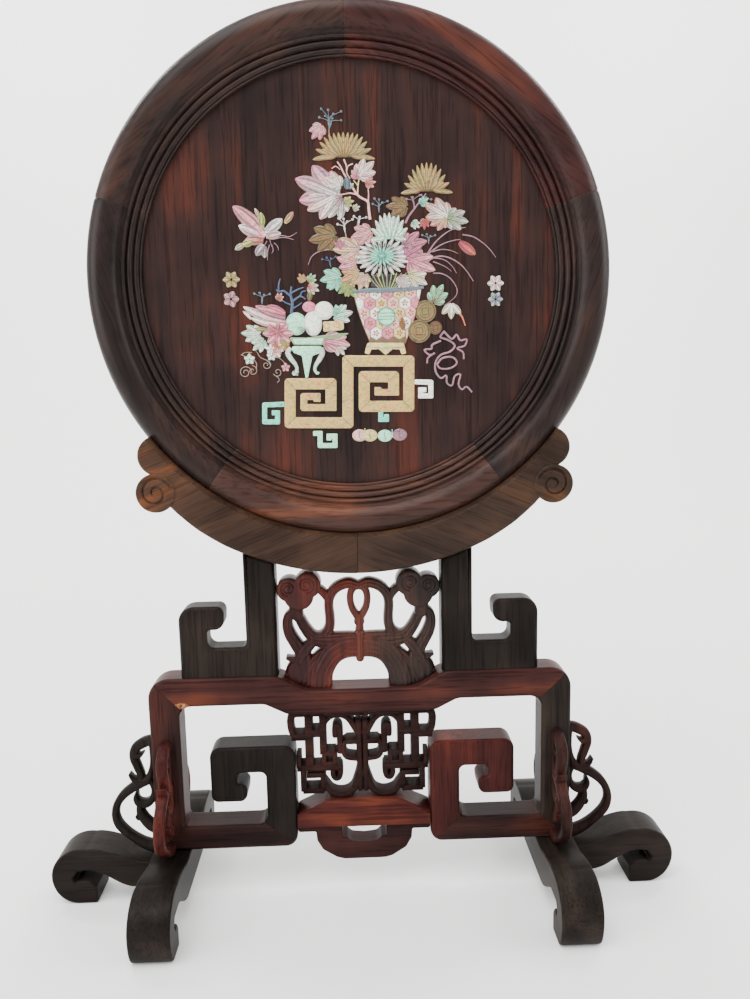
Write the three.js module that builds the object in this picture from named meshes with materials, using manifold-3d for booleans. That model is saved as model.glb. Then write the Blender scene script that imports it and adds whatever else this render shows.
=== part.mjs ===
// Round table screen: an inlaid board in a moulded ring, held by a crescent cradle on a gate-shaped stand.
// Millimetres, +Z up, X across the picture, -Y towards the viewer, origin on the floor under the middle.
import * as THREE from 'three';
import { mergeVertices } from 'three/addons/utils/BufferGeometryUtils.js';
import Module from 'manifold-3d';

const wasm = await Module();
wasm.setup();

// Shared by every piece
const FIT = 0.3; // gap between two pieces that touch
const ROUND_STEPS = 3; // facets in a rounded corner
const TURN_STEPS = 45; // facets in a full turn of the ring
const SECTION_STEP = 22.5; // degrees between the facets of its half round
const EDGE = 2.5; // chamfer along the stand's front and back edges

// Ring and board
const RING_R = 200;
const RING_DEPTH = 30;
const MOULDING_WIDTH = 27; // outer half round, seen from the front
const MOULDING_TURN = 146; // degrees from its outermost point to where the beads begin
const FRAME_WIDTH = 42.5; // from the ring's outer rim in to the board that shows
const BOARD_THICK = 8;
const BOARD_RIM = 4; // how far the board enters the ring's groove
const RING_NAMES = ['upper_right', 'lower_right', 'bottom', 'lower_left', 'upper_left'];

// Cradle
const CRADLE_DEPTH = 36;
const CRADLE_BREADTH = 28; // from the ring's rim to the underside
const CRADLE_REACH = 54; // degrees from the bottom of the ring to each tip
const LIP_TURN = 45; // degrees round the ring's half round that the cradle's lips climb
const LOBE_R = 15.5; // round lobe over each volute
const LOBE_TURN = 49.1; // degrees from the bottom of the ring to the lobe's middle
const LOBE_OUT = 1; // how far its middle lies outside the ring's rim
const VOLUTE_R = 15.2;
const VOLUTE_TURN = 44; // degrees from the bottom of the ring to the volute's eye
const VOLUTE_IN = 5.5; // how far its eye lies inside the underside's circle
const VOLUTE_PROUD = 1.2;
const LOBE_ARC = { from: 68, to: -38, step: 20 }; // degrees round the lobe, and between its facets
const VOLUTE_ARC = { from: 58, to: -112, step: 17 };
const SPIRAL_TURNS = 1.6;
const SPIRAL_WIDTH = 2;

// Gate: a rail over two posts, with bottom bars that run in to the square scrolls
const GATE_HALF = 172.4;
const GATE_DEPTH = 26;
const GATE_HEIGHT = 148.8;
const POST_WIDTH = 24.4;
const RAIL_HEIGHT = 24;
const GATE_CORNER = 17; // outer rounding
const GATE_FILLET = 10; // inner rounding
const DIP_DEPTH = 13; // the rail's top sinks between the L posts
const DIP_SHORT = 20.3; // from an L post's inner side in to where the dip is level
const DIP_SLOPE = 22;
const SWELL_DEPTH = 9.5; // the rail's underside drops in the middle
const SWELL_PAST = 4.5; // how far the level of the swell runs past the square scrolls' inner sides
const SWELL_SLOPE = 19;
const BOTTOM_BAR = 21;
const SCROLL_WIDTH = 70;
const SCROLL_ROOM = 22.5; // clear space between a square scroll and its gate post
const SCROLL_HEIGHT = 88.8;
const SCROLL_UPRIGHT = 24.5;
const SCROLL_HEAD = 22.5; // height of the scroll's top bar
const SCROLL_SIDE = 21.5; // width of the scroll's outer bar
const HOOK_DROP = 47.5; // from the scroll's top to its hook's underside
const HOOK_THICK = 15;
const HOOK_REACH = 9; // how far the hook turns in past the scroll's outer bar
const SCROLL_CORNER = 8.5;
const RAIL_OVERLAP = 20; // how far each half of the rail is drawn past the middle before they are joined

// L posts between the gate and the cradle
const CRADLE_LIFT = 84; // from the gate's top to the cradle's underside
const L_ROOM = 27.4; // from the gate's outer side in to the outer side of an L post's hook
const L_WIDTH = 25.2;
const L_DEPTH = 22;
const L_REACH = 78.7; // from the upright's inner side to the outer side of its hook
const L_SOLE = 24;
const L_HOOK_HEIGHT = 58;
const L_HOOK_SIDE = 22.5;
const L_HOOK_TIP = 37; // from the outer side back to the tip
const L_HOOK_HEAD = 19.5;
const L_CORNER = 11;

// Feet: one runs front to back under each gate post, and an arm leaves it sideways
const FOOT_WIDTH = 32;
const FOOT_TOP = 41.7; // floor to the block's top
const FOOT_CREST = 47.8;
const FOOT_HOLLOW = 40; // lowest point of a foot's top, behind its scroll
const ARM_TOP = 34.6; // height of an arm where it leaves the block
const FOOT_WAIST = 12.9; // floor to the underside of the block
const FOOT_MOUTH = 29; // height of the roof over the scroll's mouth
const FOOT_LIP = 14.5; // height of the scroll's blunt end
// A scroll's outermost point, half width, flat past its middle, blunt end and hollow's end, from the block out
const FOOT_SCROLL = { reach: 81, across: 27, sole: 16, blunt: 53, hollowEnd: 64 };
const ARM_SCROLL = { reach: 83.5, across: 25.5, sole: 4, blunt: 46.5, hollowEnd: 65.5 };

// Openwork
const CARVED_DEPTH = 14; // strands of the upper carved panel
const CARVED_HEAD_DEPTH = 19; // its ruyi heads and its knot
const LATTICE_DEPTH = 16;
const LATTICE_WING = 5; // how far its top reaches over each square scroll
const BRACKET_DEPTH = 9;
const BRACKET_REACH = 38.8;
const BRACKET_TOP = 139;

// Apron between the square scrolls
const APRON_DRAWN = 55.2; // half the opening that the apron's sizes across are drawn for
const APRON_DEPTH = 26;
const APRON_TOP = 81;
const APRON_BOTTOM = 58.5;
const APRON_FLAT = 31; // half width of the level part of its top
const APRON_FALL = 12; // drop of its top at the ends
const APRON_ROUND = 15; // rounding where its top begins to fall
const PENDANT_DEPTH = 18;
const PENDANT_SHOULDER = 6.5;
const PENDANT_HALF = 40;
const PENDANT_DROP = 30;
const PENDANT_NOTCH_HALF = 18.5;
const PENDANT_NOTCH_RIM = 14; // half width of the notch where its sides leave the shoulder
const PENDANT_NOTCH = 14.5;

// Heights and places that follow from the sizes above
const GATE_TOP = FOOT_TOP + GATE_HEIGHT;
const CRADLE_OUT_R = RING_R + CRADLE_BREADTH;
const SIGHT_R = RING_R - FRAME_WIDTH;
const RING_Z = GATE_TOP + CRADLE_LIFT + CRADLE_OUT_R;
const POST_X = GATE_HALF - POST_WIDTH / 2;
const FOOT_OUT = POST_X + FOOT_WIDTH / 2;
const SCROLL_INSIDE = GATE_HALF - POST_WIDTH - SCROLL_ROOM - SCROLL_WIDTH;
const SWELL_HALF = SCROLL_INSIDE + SWELL_PAST;
const L_INSIDE = GATE_HALF - L_ROOM - L_REACH;
const DIP_HALF = L_INSIDE - DIP_SHORT;
const SCROLL_TOP = FOOT_TOP + SCROLL_HEIGHT;
const RAIL_UNDER = GATE_TOP - RAIL_HEIGHT;
const SWELL_UNDER = RAIL_UNDER - SWELL_DEPTH;
const DIP_TOP = GATE_TOP - DIP_DEPTH;

const rad = THREE.MathUtils.degToRad;
const wood = {
  black: new THREE.MeshStandardMaterial({ color: 0x35302d, roughness: 0.42, metalness: 0 }),
  brown: new THREE.MeshStandardMaterial({ color: 0x4a3a2a, roughness: 0.42, metalness: 0 }),
  red: new THREE.MeshStandardMaterial({ color: 0x6b2f24, roughness: 0.4, metalness: 0 }),
  board: new THREE.MeshStandardMaterial({ color: 0x3c211e, roughness: 0.35, metalness: 0 }),
};
const screen = new THREE.Group();

function add(name, geometry, material) {
  const mesh = new THREE.Mesh(geometry, material.clone());
  mesh.name = name;
  screen.add(mesh);
}

// Joining and cutting
function toSolid(geometry) {
  const bare = geometry.clone();
  bare.deleteAttribute('normal');
  bare.deleteAttribute('uv');
  const merged = mergeVertices(bare, 1e-4);
  return new wasm.Manifold(new wasm.Mesh({
    numProp: 3,
    vertProperties: new Float32Array(merged.attributes.position.array),
    triVerts: new Uint32Array(merged.index.array),
  }));
}

function toGeometry(solid) {
  const mesh = solid.getMesh();
  const geometry = new THREE.BufferGeometry();
  geometry.setAttribute('position', new THREE.BufferAttribute(new Float32Array(mesh.vertProperties), 3));
  geometry.setIndex(new THREE.BufferAttribute(new Uint32Array(mesh.triVerts), 1));
  geometry.computeVertexNormals();
  return geometry;
}

function joined(solids) {
  return solids.reduce((whole, next) => whole.add(next));
}

// The other side of a piece: x changes sign and each face is wound the other way.
function mirrored(geometry) {
  const copy = geometry.clone();
  copy.scale(-1, 1, 1);
  const index = copy.index.array;
  for (let i = 0; i < index.length; i += 3) {
    [index[i], index[i + 1]] = [index[i + 1], index[i]];
  }
  copy.computeVertexNormals();
  return copy;
}

// A shape drawn in the front view, x across and z up, carried through from front to back.
function slab(shape, depth, bevel = 0) {
  const geometry = new THREE.ExtrudeGeometry(shape, {
    depth: depth - 2 * bevel,
    curveSegments: ROUND_STEPS,
    bevelEnabled: bevel > 0,
    bevelThickness: bevel,
    bevelSize: bevel,
    bevelOffset: -bevel,
    bevelSegments: 1,
  });
  geometry.translate(0, 0, bevel - depth / 2);
  geometry.rotateX(Math.PI / 2);
  return geometry;
}

const slabSolid = (shape, depth, bevel = 0) => toSolid(slab(shape, depth, bevel));

// A closed outline through [x, z, rounding] corners, each corner rounded by an arc of its own radius.
function outline(corners) {
  const shape = new THREE.Shape();
  const at = (i) => new THREE.Vector2(...corners[(i + corners.length) % corners.length]);
  corners.forEach(([x, z, round = 0], i) => {
    const here = new THREE.Vector2(x, z);
    const back = at(i - 1).sub(here).normalize();
    const ahead = at(i + 1).sub(here).normalize();
    const half = Math.acos(THREE.MathUtils.clamp(back.dot(ahead), -1, 1)) / 2;
    const run = round / Math.tan(half);
    const first = here.clone().addScaledVector(back, run);
    const move = i === 0 ? 'moveTo' : 'lineTo';
    shape[move](first.x, first.y);
    if (round > 0) {
      const centre = here.clone().addScaledVector(back.clone().add(ahead).normalize(), round / Math.sin(half));
      const start = Math.atan2(first.y - centre.y, first.x - centre.x);
      const sweep = Math.PI - 2 * half;
      const turn = Math.sign(back.clone().negate().cross(ahead));
      for (let k = 1; k <= ROUND_STEPS; k += 1) {
        const angle = start + (turn * sweep * k) / ROUND_STEPS;
        shape.lineTo(centre.x + round * Math.cos(angle), centre.y + round * Math.sin(angle));
      }
    }
  });
  return shape;
}

// A strand of the openwork: a smooth line through [x, z, width] points, swept out to its width.
function strand(points) {
  const line = new THREE.CatmullRomCurve3(points.map(([x, z, w]) => new THREE.Vector3(x, z, w)));
  const count = points.length - 1;
  const left = [];
  const right = [];
  for (let i = 0; i <= count; i += 1) {
    const t = i / count;
    const p = line.getPoint(t);
    const along = line.getTangent(t);
    const across = new THREE.Vector2(-along.y, along.x).normalize().multiplyScalar(p.z / 2);
    left.push(new THREE.Vector2(p.x + across.x, p.y + across.y));
    right.unshift(new THREE.Vector2(p.x - across.x, p.y - across.y));
  }
  return new THREE.Shape([...left, ...right]);
}

function disc(x, z, radius, steps = 12) {
  const points = [];
  for (let i = 0; i < steps; i += 1) {
    const angle = (2 * Math.PI * i) / steps;
    points.push(new THREE.Vector2(x + radius * Math.cos(angle), z + radius * Math.sin(angle)));
  }
  return new THREE.Shape(points);
}

const ease = (t) => (1 - Math.cos(Math.PI * THREE.MathUtils.clamp(t, 0, 1))) / 2;

// Ring: a turned moulding, cut into five felloes that meet on radial joints
const moulding = { r: RING_R - MOULDING_WIDTH / 2, across: MOULDING_WIDTH / 2, out: RING_DEPTH / 2 };

function mouldingPoint(degrees, grow = 0) {
  const angle = rad(degrees);
  const r = moulding.r + (moulding.across + grow) * Math.cos(angle);
  return new THREE.Vector2(r, (moulding.out + grow) * Math.sin(angle));
}

function ringSection() {
  const groove = BOARD_THICK / 2 + FIT;
  const rimR = SIGHT_R + BOARD_RIM + FIT;
  const beads = moulding.r - moulding.across + 1 - SIGHT_R;
  const points = [];
  const front = [[0, 7.4], [0.3, 8], [0.38, 9.6], [0.62, 9.6], [0.72, 8], [0.8, 10.2], [0.94, 10]];
  const back = [[0.9, 8.4], [0, 8]];
  front.forEach(([share, y]) => points.push(new THREE.Vector2(SIGHT_R + beads * share, -y)));
  points.push(mouldingPoint(-MOULDING_TURN));
  for (let turn = -6; turn <= 6; turn += turn < 2 ? 1 : 2) points.push(mouldingPoint(turn * SECTION_STEP));
  points.push(mouldingPoint(MOULDING_TURN));
  back.forEach(([share, y]) => points.push(new THREE.Vector2(SIGHT_R + beads * share, y)));
  points.push(new THREE.Vector2(SIGHT_R, groove));
  points.push(new THREE.Vector2(rimR, groove));
  points.push(new THREE.Vector2(rimR, -groove));
  points.push(new THREE.Vector2(SIGHT_R, -groove));
  points.push(points[0].clone());
  return points;
}

function felloe(index, blank) {
  const far = 2 * RING_R;
  const gap = FIT / 2 / SIGHT_R;
  const from = (2 * Math.PI * index) / RING_NAMES.length + gap;
  const to = (2 * Math.PI * (index + 1)) / RING_NAMES.length - gap;
  const wedge = new THREE.Shape([new THREE.Vector2(0, 0)]);
  [from, (from + to) / 2, to].forEach((angle) => wedge.lineTo(far * Math.sin(angle), far * Math.cos(angle)));
  return blank.intersect(slabSolid(wedge, 2 * RING_DEPTH));
}

function makeRing() {
  const blank = toSolid(new THREE.LatheGeometry(ringSection(), TURN_STEPS));
  RING_NAMES.forEach((name, index) => {
    const piece = toGeometry(felloe(index, blank));
    piece.translate(0, 0, RING_Z);
    add(`ring_${name}`, piece, name === 'bottom' ? wood.red : wood.black);
  });
}

function makeBoard() {
  const board = new THREE.CylinderGeometry(SIGHT_R + BOARD_RIM, SIGHT_R + BOARD_RIM, BOARD_THICK, TURN_STEPS);
  board.translate(0, 0, RING_Z);
  add('board', board, wood.board);
}

// Cradle: two halves that meet under the middle of the ring, each ending in a lobe over a volute
function cradleSection() {
  const points = [];
  const face = CRADLE_DEPTH / 2;
  for (let turn = LIP_TURN; turn >= -LIP_TURN; turn -= SECTION_STEP) points.push(mouldingPoint(turn, FIT));
  const lip = points[points.length - 1];
  const lipFace = Math.min(-lip.y + 4, face - EDGE / 2);
  const far = CRADLE_OUT_R + 2 * VOLUTE_R;
  points.push(new THREE.Vector2(lip.x + 0.5, -lipFace));
  points.push(new THREE.Vector2(lip.x + EDGE, -face));
  points.push(new THREE.Vector2(far, -face));
  points.push(new THREE.Vector2(far, face));
  points.push(new THREE.Vector2(lip.x + EDGE, face));
  points.push(new THREE.Vector2(lip.x + 0.5, lipFace));
  points.push(points[0].clone());
  return points;
}

// A point of the cradle's front view, by its distance from the ring's centre and its turn from straight down.
const polar = (r, degrees) => new THREE.Vector2(r * Math.sin(rad(degrees)), -r * Math.cos(rad(degrees)));

function cradleOutline() {
  const eye = polar(CRADLE_OUT_R - VOLUTE_IN, VOLUTE_TURN);
  const lobe = polar(RING_R + LOBE_OUT, LOBE_TURN);
  const inner = RING_R - MOULDING_WIDTH;
  const seam = FIT / 2;
  const points = [new THREE.Vector2(seam, -inner)];
  for (let turn = 9; turn < CRADLE_REACH; turn += 9) points.push(polar(inner, turn));
  points.push(polar(inner, CRADLE_REACH));
  const arc = (centre, r, { from, to, step }) => {
    for (let angle = from; angle >= to; angle -= step) {
      points.push(new THREE.Vector2(centre.x + r * Math.cos(rad(angle)), centre.y + r * Math.sin(rad(angle))));
    }
  };
  arc(lobe, LOBE_R, LOBE_ARC);
  arc(eye, VOLUTE_R, VOLUTE_ARC);
  points.push(polar(CRADLE_OUT_R - 3, 38.6));
  points.push(polar(CRADLE_OUT_R - 1, 33));
  for (let turn = 28; turn > 3; turn -= 4) points.push(polar(CRADLE_OUT_R, turn));
  points.push(new THREE.Vector2(seam, -CRADLE_OUT_R));
  return { shape: new THREE.Shape(points), eye };
}

function spiralGroove(eye) {
  const steps = Math.round(SPIRAL_TURNS * 9);
  const outer = [];
  const inner = [];
  for (let i = 0; i <= steps; i += 1) {
    const t = i / steps;
    const angle = rad(160) - 2 * Math.PI * SPIRAL_TURNS * t;
    const r = THREE.MathUtils.lerp(VOLUTE_R - 2, 3, t);
    outer.push(new THREE.Vector2(eye.x + r * Math.cos(angle), eye.y + r * Math.sin(angle)));
    const narrow = r - SPIRAL_WIDTH * (1 - 0.4 * t);
    inner.unshift(new THREE.Vector2(eye.x + narrow * Math.cos(angle), eye.y + narrow * Math.sin(angle)));
  }
  return new THREE.Shape([...outer, ...inner]);
}

function makeCradle() {
  const { shape, eye } = cradleOutline();
  const depth = CRADLE_DEPTH + 2 * VOLUTE_PROUD;
  const turned = toSolid(new THREE.LatheGeometry(cradleSection(), TURN_STEPS));
  const boss = slabSolid(disc(eye.x, eye.y, VOLUTE_R, 18), depth, 1);
  const spiral = slab(spiralGroove(eye), 2 * VOLUTE_PROUD);
  const cuts = [-depth / 2, depth / 2].map((y) => toSolid(spiral.clone().translate(0, y, 0)));
  const half = turned.intersect(slabSolid(shape, 2 * CRADLE_DEPTH)).add(boss).subtract(joined(cuts));
  const right = toGeometry(half);
  right.translate(0, 0, RING_Z);
  add('cradle_right', right, wood.brown);
  add('cradle_left', mirrored(right), wood.brown);
}

// What stays clear of the cradle's round underside: a cylinder whose flats lie outside the cradle's own.
function underCradle() {
  const r = (CRADLE_OUT_R + FIT) / Math.cos(Math.PI / TURN_STEPS);
  const round = new THREE.CylinderGeometry(r, r, 2 * CRADLE_DEPTH, TURN_STEPS);
  return toSolid(round.translate(0, 0, RING_Z));
}

// L posts: an upright into the cradle, a sole along the rail and a hook that turns back over it
function makeLPosts(cradle) {
  const sole = GATE_TOP + FIT;
  const side = L_INSIDE + L_REACH;
  const floor = sole + L_SOLE;
  const head = sole + L_HOOK_HEIGHT;
  const hollow = side - L_HOOK_SIDE;
  const tip = side - L_HOOK_TIP;
  const shape = outline([
    [L_INSIDE, sole - EDGE],
    [side, sole - EDGE],
    [side, head, L_CORNER],
    [tip, head, 4],
    [tip + 1, head - L_HOOK_HEAD, 6],
    [hollow, head - L_HOOK_HEAD, 1.5],
    [hollow, floor, 5],
    [L_INSIDE + L_WIDTH, floor, 3.5],
    [L_INSIDE + L_WIDTH, RING_Z],
    [L_INSIDE, RING_Z],
  ]);
  const bed = outline([[0, RAIL_UNDER], [2 * side, RAIL_UNDER], [2 * side, sole], [0, sole]]);
  const solid = slabSolid(shape, L_DEPTH, EDGE).subtract(cradle).subtract(slabSolid(bed, 2 * GATE_DEPTH));
  const right = toGeometry(solid);
  add('l_post_right', right, wood.black);
  add('l_post_left', mirrored(right), wood.black);
}

// Gate: one frame outline, sawn on its mitres into rail, posts, bottom bars and square scrolls
const scroll = {
  out: SCROLL_INSIDE + SCROLL_WIDTH,
  upright: SCROLL_INSIDE + SCROLL_UPRIGHT,
  barTop: FOOT_TOP + BOTTOM_BAR,
  under: SCROLL_TOP - SCROLL_HEAD,
  hookUnder: SCROLL_TOP - HOOK_DROP,
};

function halfGate() {
  const inner = GATE_HALF - POST_WIDTH;
  const eyeSide = scroll.out - SCROLL_SIDE;
  const tip = eyeSide - HOOK_REACH;
  return [
    [-RAIL_OVERLAP, DIP_TOP],
    [DIP_HALF, DIP_TOP, 20],
    [DIP_HALF + DIP_SLOPE, GATE_TOP, 20],
    [GATE_HALF, GATE_TOP, GATE_CORNER],
    [GATE_HALF, FOOT_TOP + FIT],
    [SCROLL_INSIDE, FOOT_TOP + FIT, 10],
    [SCROLL_INSIDE, SCROLL_TOP, SCROLL_CORNER],
    [scroll.out, SCROLL_TOP, SCROLL_CORNER],
    [scroll.out, scroll.hookUnder, 5],
    [tip + 1.5, scroll.hookUnder, 5],
    [tip, scroll.hookUnder + HOOK_THICK, 4],
    [eyeSide, scroll.hookUnder + HOOK_THICK, 2.5],
    [eyeSide, scroll.under, 3],
    [scroll.upright, scroll.under, 4],
    [scroll.upright, scroll.barTop, 7],
    [inner, scroll.barTop, 4],
    [inner, RAIL_UNDER, GATE_FILLET],
    [SWELL_HALF + SWELL_SLOPE, RAIL_UNDER, 12],
    [SWELL_HALF, SWELL_UNDER, 12],
    [-RAIL_OVERLAP, SWELL_UNDER],
  ];
}

// The line of a mitre, from the outer corner in, run on past both ends and moved sideways by half the gap.
function mitreEnds(outer, inner, over, side) {
  const along = new THREE.Vector2(inner[0] - outer[0], inner[1] - outer[1]).normalize();
  const shift = new THREE.Vector2(-along.y, along.x).multiplyScalar((side * FIT) / 2);
  const start = new THREE.Vector2(...outer).addScaledVector(along, -over).add(shift);
  const end = new THREE.Vector2(...inner).addScaledVector(along, over).add(shift);
  return [start.toArray(), end.toArray()];
}

function makeGate() {
  const blank = slabSolid(outline(halfGate()), GATE_DEPTH, EDGE);
  const inner = GATE_HALF - POST_WIDTH;
  const low = FOOT_TOP - BOTTOM_BAR;
  const gapMid = (scroll.barTop + scroll.hookUnder) / 2;
  const fillet = GATE_FILLET * (1 - Math.SQRT1_2);
  const top = [[GATE_HALF, GATE_TOP], [inner - fillet, RAIL_UNDER - fillet]];
  const foot = [[GATE_HALF, FOOT_TOP], [inner, scroll.barTop]];
  const knee = [[SCROLL_INSIDE, FOOT_TOP], [scroll.upright, scroll.barTop]];
  const [topA, topB] = mitreEnds(...top, 6, 1);
  const [topC, topD] = mitreEnds(...top, 6, -1);
  const [footA, footB] = mitreEnds(...foot, 6, -1);
  const [footC, footD] = mitreEnds(...foot, 6, 1);
  const [kneeA, kneeB] = mitreEnds(...knee, 3, -1);
  const [kneeC, kneeD] = mitreEnds(...knee, 3, 1);
  const cut = (corners) => toGeometry(blank.intersect(slabSolid(outline(corners), 2 * GATE_DEPTH)));

  const past = RAIL_OVERLAP / 2;
  const half = cut([topC, topD, [topD[0], SWELL_UNDER - EDGE], [-past, SWELL_UNDER - EDGE],
    [-past, 2 * GATE_TOP], [topC[0], 2 * GATE_TOP]]);
  add('gate_rail', toGeometry(toSolid(half).add(toSolid(mirrored(half)))), wood.red);

  const beyond = GATE_HALF + POST_WIDTH;
  const post = cut([topA, topB, [topB[0], footB[1]], footB, footA, [beyond, footA[1]], [beyond, topA[1]]]);
  add('gate_post_right', post, wood.black);
  add('gate_post_left', mirrored(post), wood.black);

  const bar = cut([footC, footD, [footD[0], gapMid], [kneeB[0], gapMid], kneeB, kneeA,
    [kneeA[0], low], [footC[0], low]]);
  add('bottom_bar_right', bar, wood.brown);
  add('bottom_bar_left', mirrored(bar), wood.brown);

  const wide = scroll.out + EDGE;
  const square = cut([kneeC, kneeD, [kneeD[0], gapMid + FIT], [wide, gapMid + FIT], [wide, SCROLL_TOP + EDGE],
    [0, SCROLL_TOP + EDGE], [0, low], [kneeC[0], low]]);
  add('square_scroll_right', square, wood.red);
  add('square_scroll_left', mirrored(square), wood.black);
}

// Feet: the outline of one scrolled end, s outwards from the block and z up
function scrolledEnd({ reach, across, sole, blunt, hollowEnd }, rootTop, hollow) {
  const centre = reach - across;
  const crestAt = centre - 5;
  const half = FOOT_CREST / 2;
  const inward = (hollowEnd - blunt) / 19;
  const points = [];
  for (let i = 0; i < 6; i += 1) {
    const t = i / 6;
    const dip = (rootTop - hollow) * (1 - ease(t * 3));
    points.push([crestAt * t, hollow + dip + (FOOT_CREST - hollow) * ease(t)]);
  }
  for (let angle = 100; angle > 0; angle -= 20) {
    points.push([centre + across * Math.cos(rad(angle)), half + half * Math.sin(rad(angle))]);
  }
  for (let angle = 0; angle >= -90; angle -= 18) {
    points.push([centre + sole + (across - sole) * Math.cos(rad(angle)), half + half * Math.sin(rad(angle))]);
  }
  points.push([blunt + 2, 0]);
  points.push([blunt, 2]);
  points.push([blunt, FOOT_LIP]);
  points.push([blunt + 4 * inward, FOOT_LIP + 4]);
  points.push([blunt + 11 * inward, FOOT_LIP + 6]);
  points.push([blunt + 17 * inward, FOOT_LIP + 4.5]);
  points.push([hollowEnd, FOOT_LIP + 8]);
  points.push([blunt + 15 * inward, FOOT_MOUTH - 1.5]);
  for (let i = 6; i >= 0; i -= 1) {
    const t = i / 6;
    points.push([14 + (centre - 18) * t, FOOT_WAIST + (FOOT_MOUTH - FOOT_WAIST) * ease(t)]);
  }
  points.push([0, FOOT_WAIST]);
  return points;
}

function makeFeet() {
  const half = FOOT_WIDTH / 2;
  const end = scrolledEnd(FOOT_SCROLL, FOOT_TOP, FOOT_HOLLOW).map(([s, z]) => new THREE.Vector2(half + s, z));
  const otherEnd = end.map((p) => new THREE.Vector2(-p.x, p.y)).reverse();
  const foot = slab(new THREE.Shape([...end, ...otherEnd]), FOOT_WIDTH);
  foot.rotateZ(Math.PI / 2);
  const right = toGeometry(toSolid(foot.translate(POST_X, 0, 0)));
  add('foot_right', right, wood.black);
  add('foot_left', mirrored(right), wood.black);

  const arm = scrolledEnd(ARM_SCROLL, ARM_TOP, ARM_TOP)
    .map(([s, z]) => new THREE.Vector2(FOOT_OUT + FIT + s, z));
  const armRight = toGeometry(slabSolid(new THREE.Shape(arm), FOOT_WIDTH));
  add('foot_arm_right', armRight, wood.black);
  add('foot_arm_left', mirrored(armRight), wood.black);
}

// Bracket: five tendrils drawn on a grid 38.8 wide and 103 high, s out from the post and z up from its foot
const BRACKET_GRID = [38.8, 103];
const BRACKET_TENDRILS = [
  [[-3, 98, 8], [9, 96.5, 8], [16, 93, 8], [17.2, 85, 7.5], [14.5, 76, 7], [12, 67, 6]],
  [[1.5, 98, 4.5], [2, 82, 4.5], [4, 71, 5.5], [9, 63, 8], [15, 64, 6], [21, 70, 2]],
  [[15, 86, 5], [9, 87, 2]],
  [[9, 63, 8], [20, 59, 8], [29, 51.5, 7], [34.6, 43, 6.4], [35.2, 34, 6.6], [32, 26, 7.4], [26, 18.5, 7.4],
    [17, 11, 8], [8, 6, 10], [-3, 5, 10]],
  [[5, 66, 6], [1.5, 56, 6], [3.5, 48, 6], [10, 44.5, 8], [16, 46.5, 7], [17, 52, 4]],
  [[13.5, 42, 7], [14, 34, 8], [8, 27, 10], [2, 22, 10], [-3, 20, 10]],
];

// Carries a drawing on a grid into the room it fills, and joins its strands.
function openwork(drawing, depth, place) {
  return joined(drawing.map((points) => slabSolid(strand(points.map(place)), depth)));
}

function bracket(from, floorAt) {
  const scaleS = BRACKET_REACH / BRACKET_GRID[0];
  const scaleZ = (BRACKET_TOP - floorAt) / BRACKET_GRID[1];
  const place = ([s, z, w]) => [from + s * scaleS, floorAt + z * scaleZ, w * scaleS];
  return openwork(BRACKET_TENDRILS, BRACKET_DEPTH, place);
}

// A box in the front view, from one corner to the other.
const box = (x0, z0, x1, z1) => outline([[x0, z0], [x1, z0], [x1, z1], [x0, z1]]);

function makeBrackets() {
  const room = 2 * BRACKET_REACH;
  const sideFrom = GATE_HALF + FIT;
  const sideRoom = slabSolid(box(sideFrom, ARM_TOP, sideFrom + room, GATE_TOP), GATE_DEPTH);
  const armTop = slabSolid(new THREE.Shape(scrolledEnd(ARM_SCROLL, ARM_TOP, ARM_TOP)
    .map(([s, z]) => new THREE.Vector2(FOOT_OUT + s, z + FIT))), FOOT_WIDTH);
  const block = slabSolid(box(0, 0, FOOT_OUT + FIT, FOOT_TOP + FIT), FOOT_WIDTH);
  const right = toGeometry(bracket(sideFrom, ARM_TOP).intersect(sideRoom).subtract(armTop).subtract(block));
  add('bracket_outer_right', right, wood.black);
  add('bracket_outer_left', mirrored(right), wood.black);

  const faceFrom = GATE_DEPTH / 2 + FIT;
  const faceRoom = slabSolid(box(faceFrom, FOOT_HOLLOW, faceFrom + room, GATE_TOP), GATE_DEPTH);
  const footTop = slabSolid(new THREE.Shape([[0, FOOT_TOP], ...scrolledEnd(FOOT_SCROLL, FOOT_TOP, FOOT_HOLLOW)
    .map(([s, z]) => [FOOT_WIDTH / 2 + s, z])].map(([s, z]) => new THREE.Vector2(s, z + FIT))), FOOT_WIDTH);
  const standing = bracket(faceFrom, FOOT_HOLLOW).intersect(faceRoom).subtract(footTop);
  const back = toGeometry(standing).rotateZ(Math.PI / 2).translate(POST_X, 0, 0);
  const front = toGeometry(standing).rotateZ(-Math.PI / 2).translate(POST_X, 0, 0);
  add('bracket_front_right', front, wood.red);
  add('bracket_front_left', mirrored(front), wood.red);
  add('bracket_back_right', back, wood.red);
  add('bracket_back_left', mirrored(back), wood.red);
}

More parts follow.
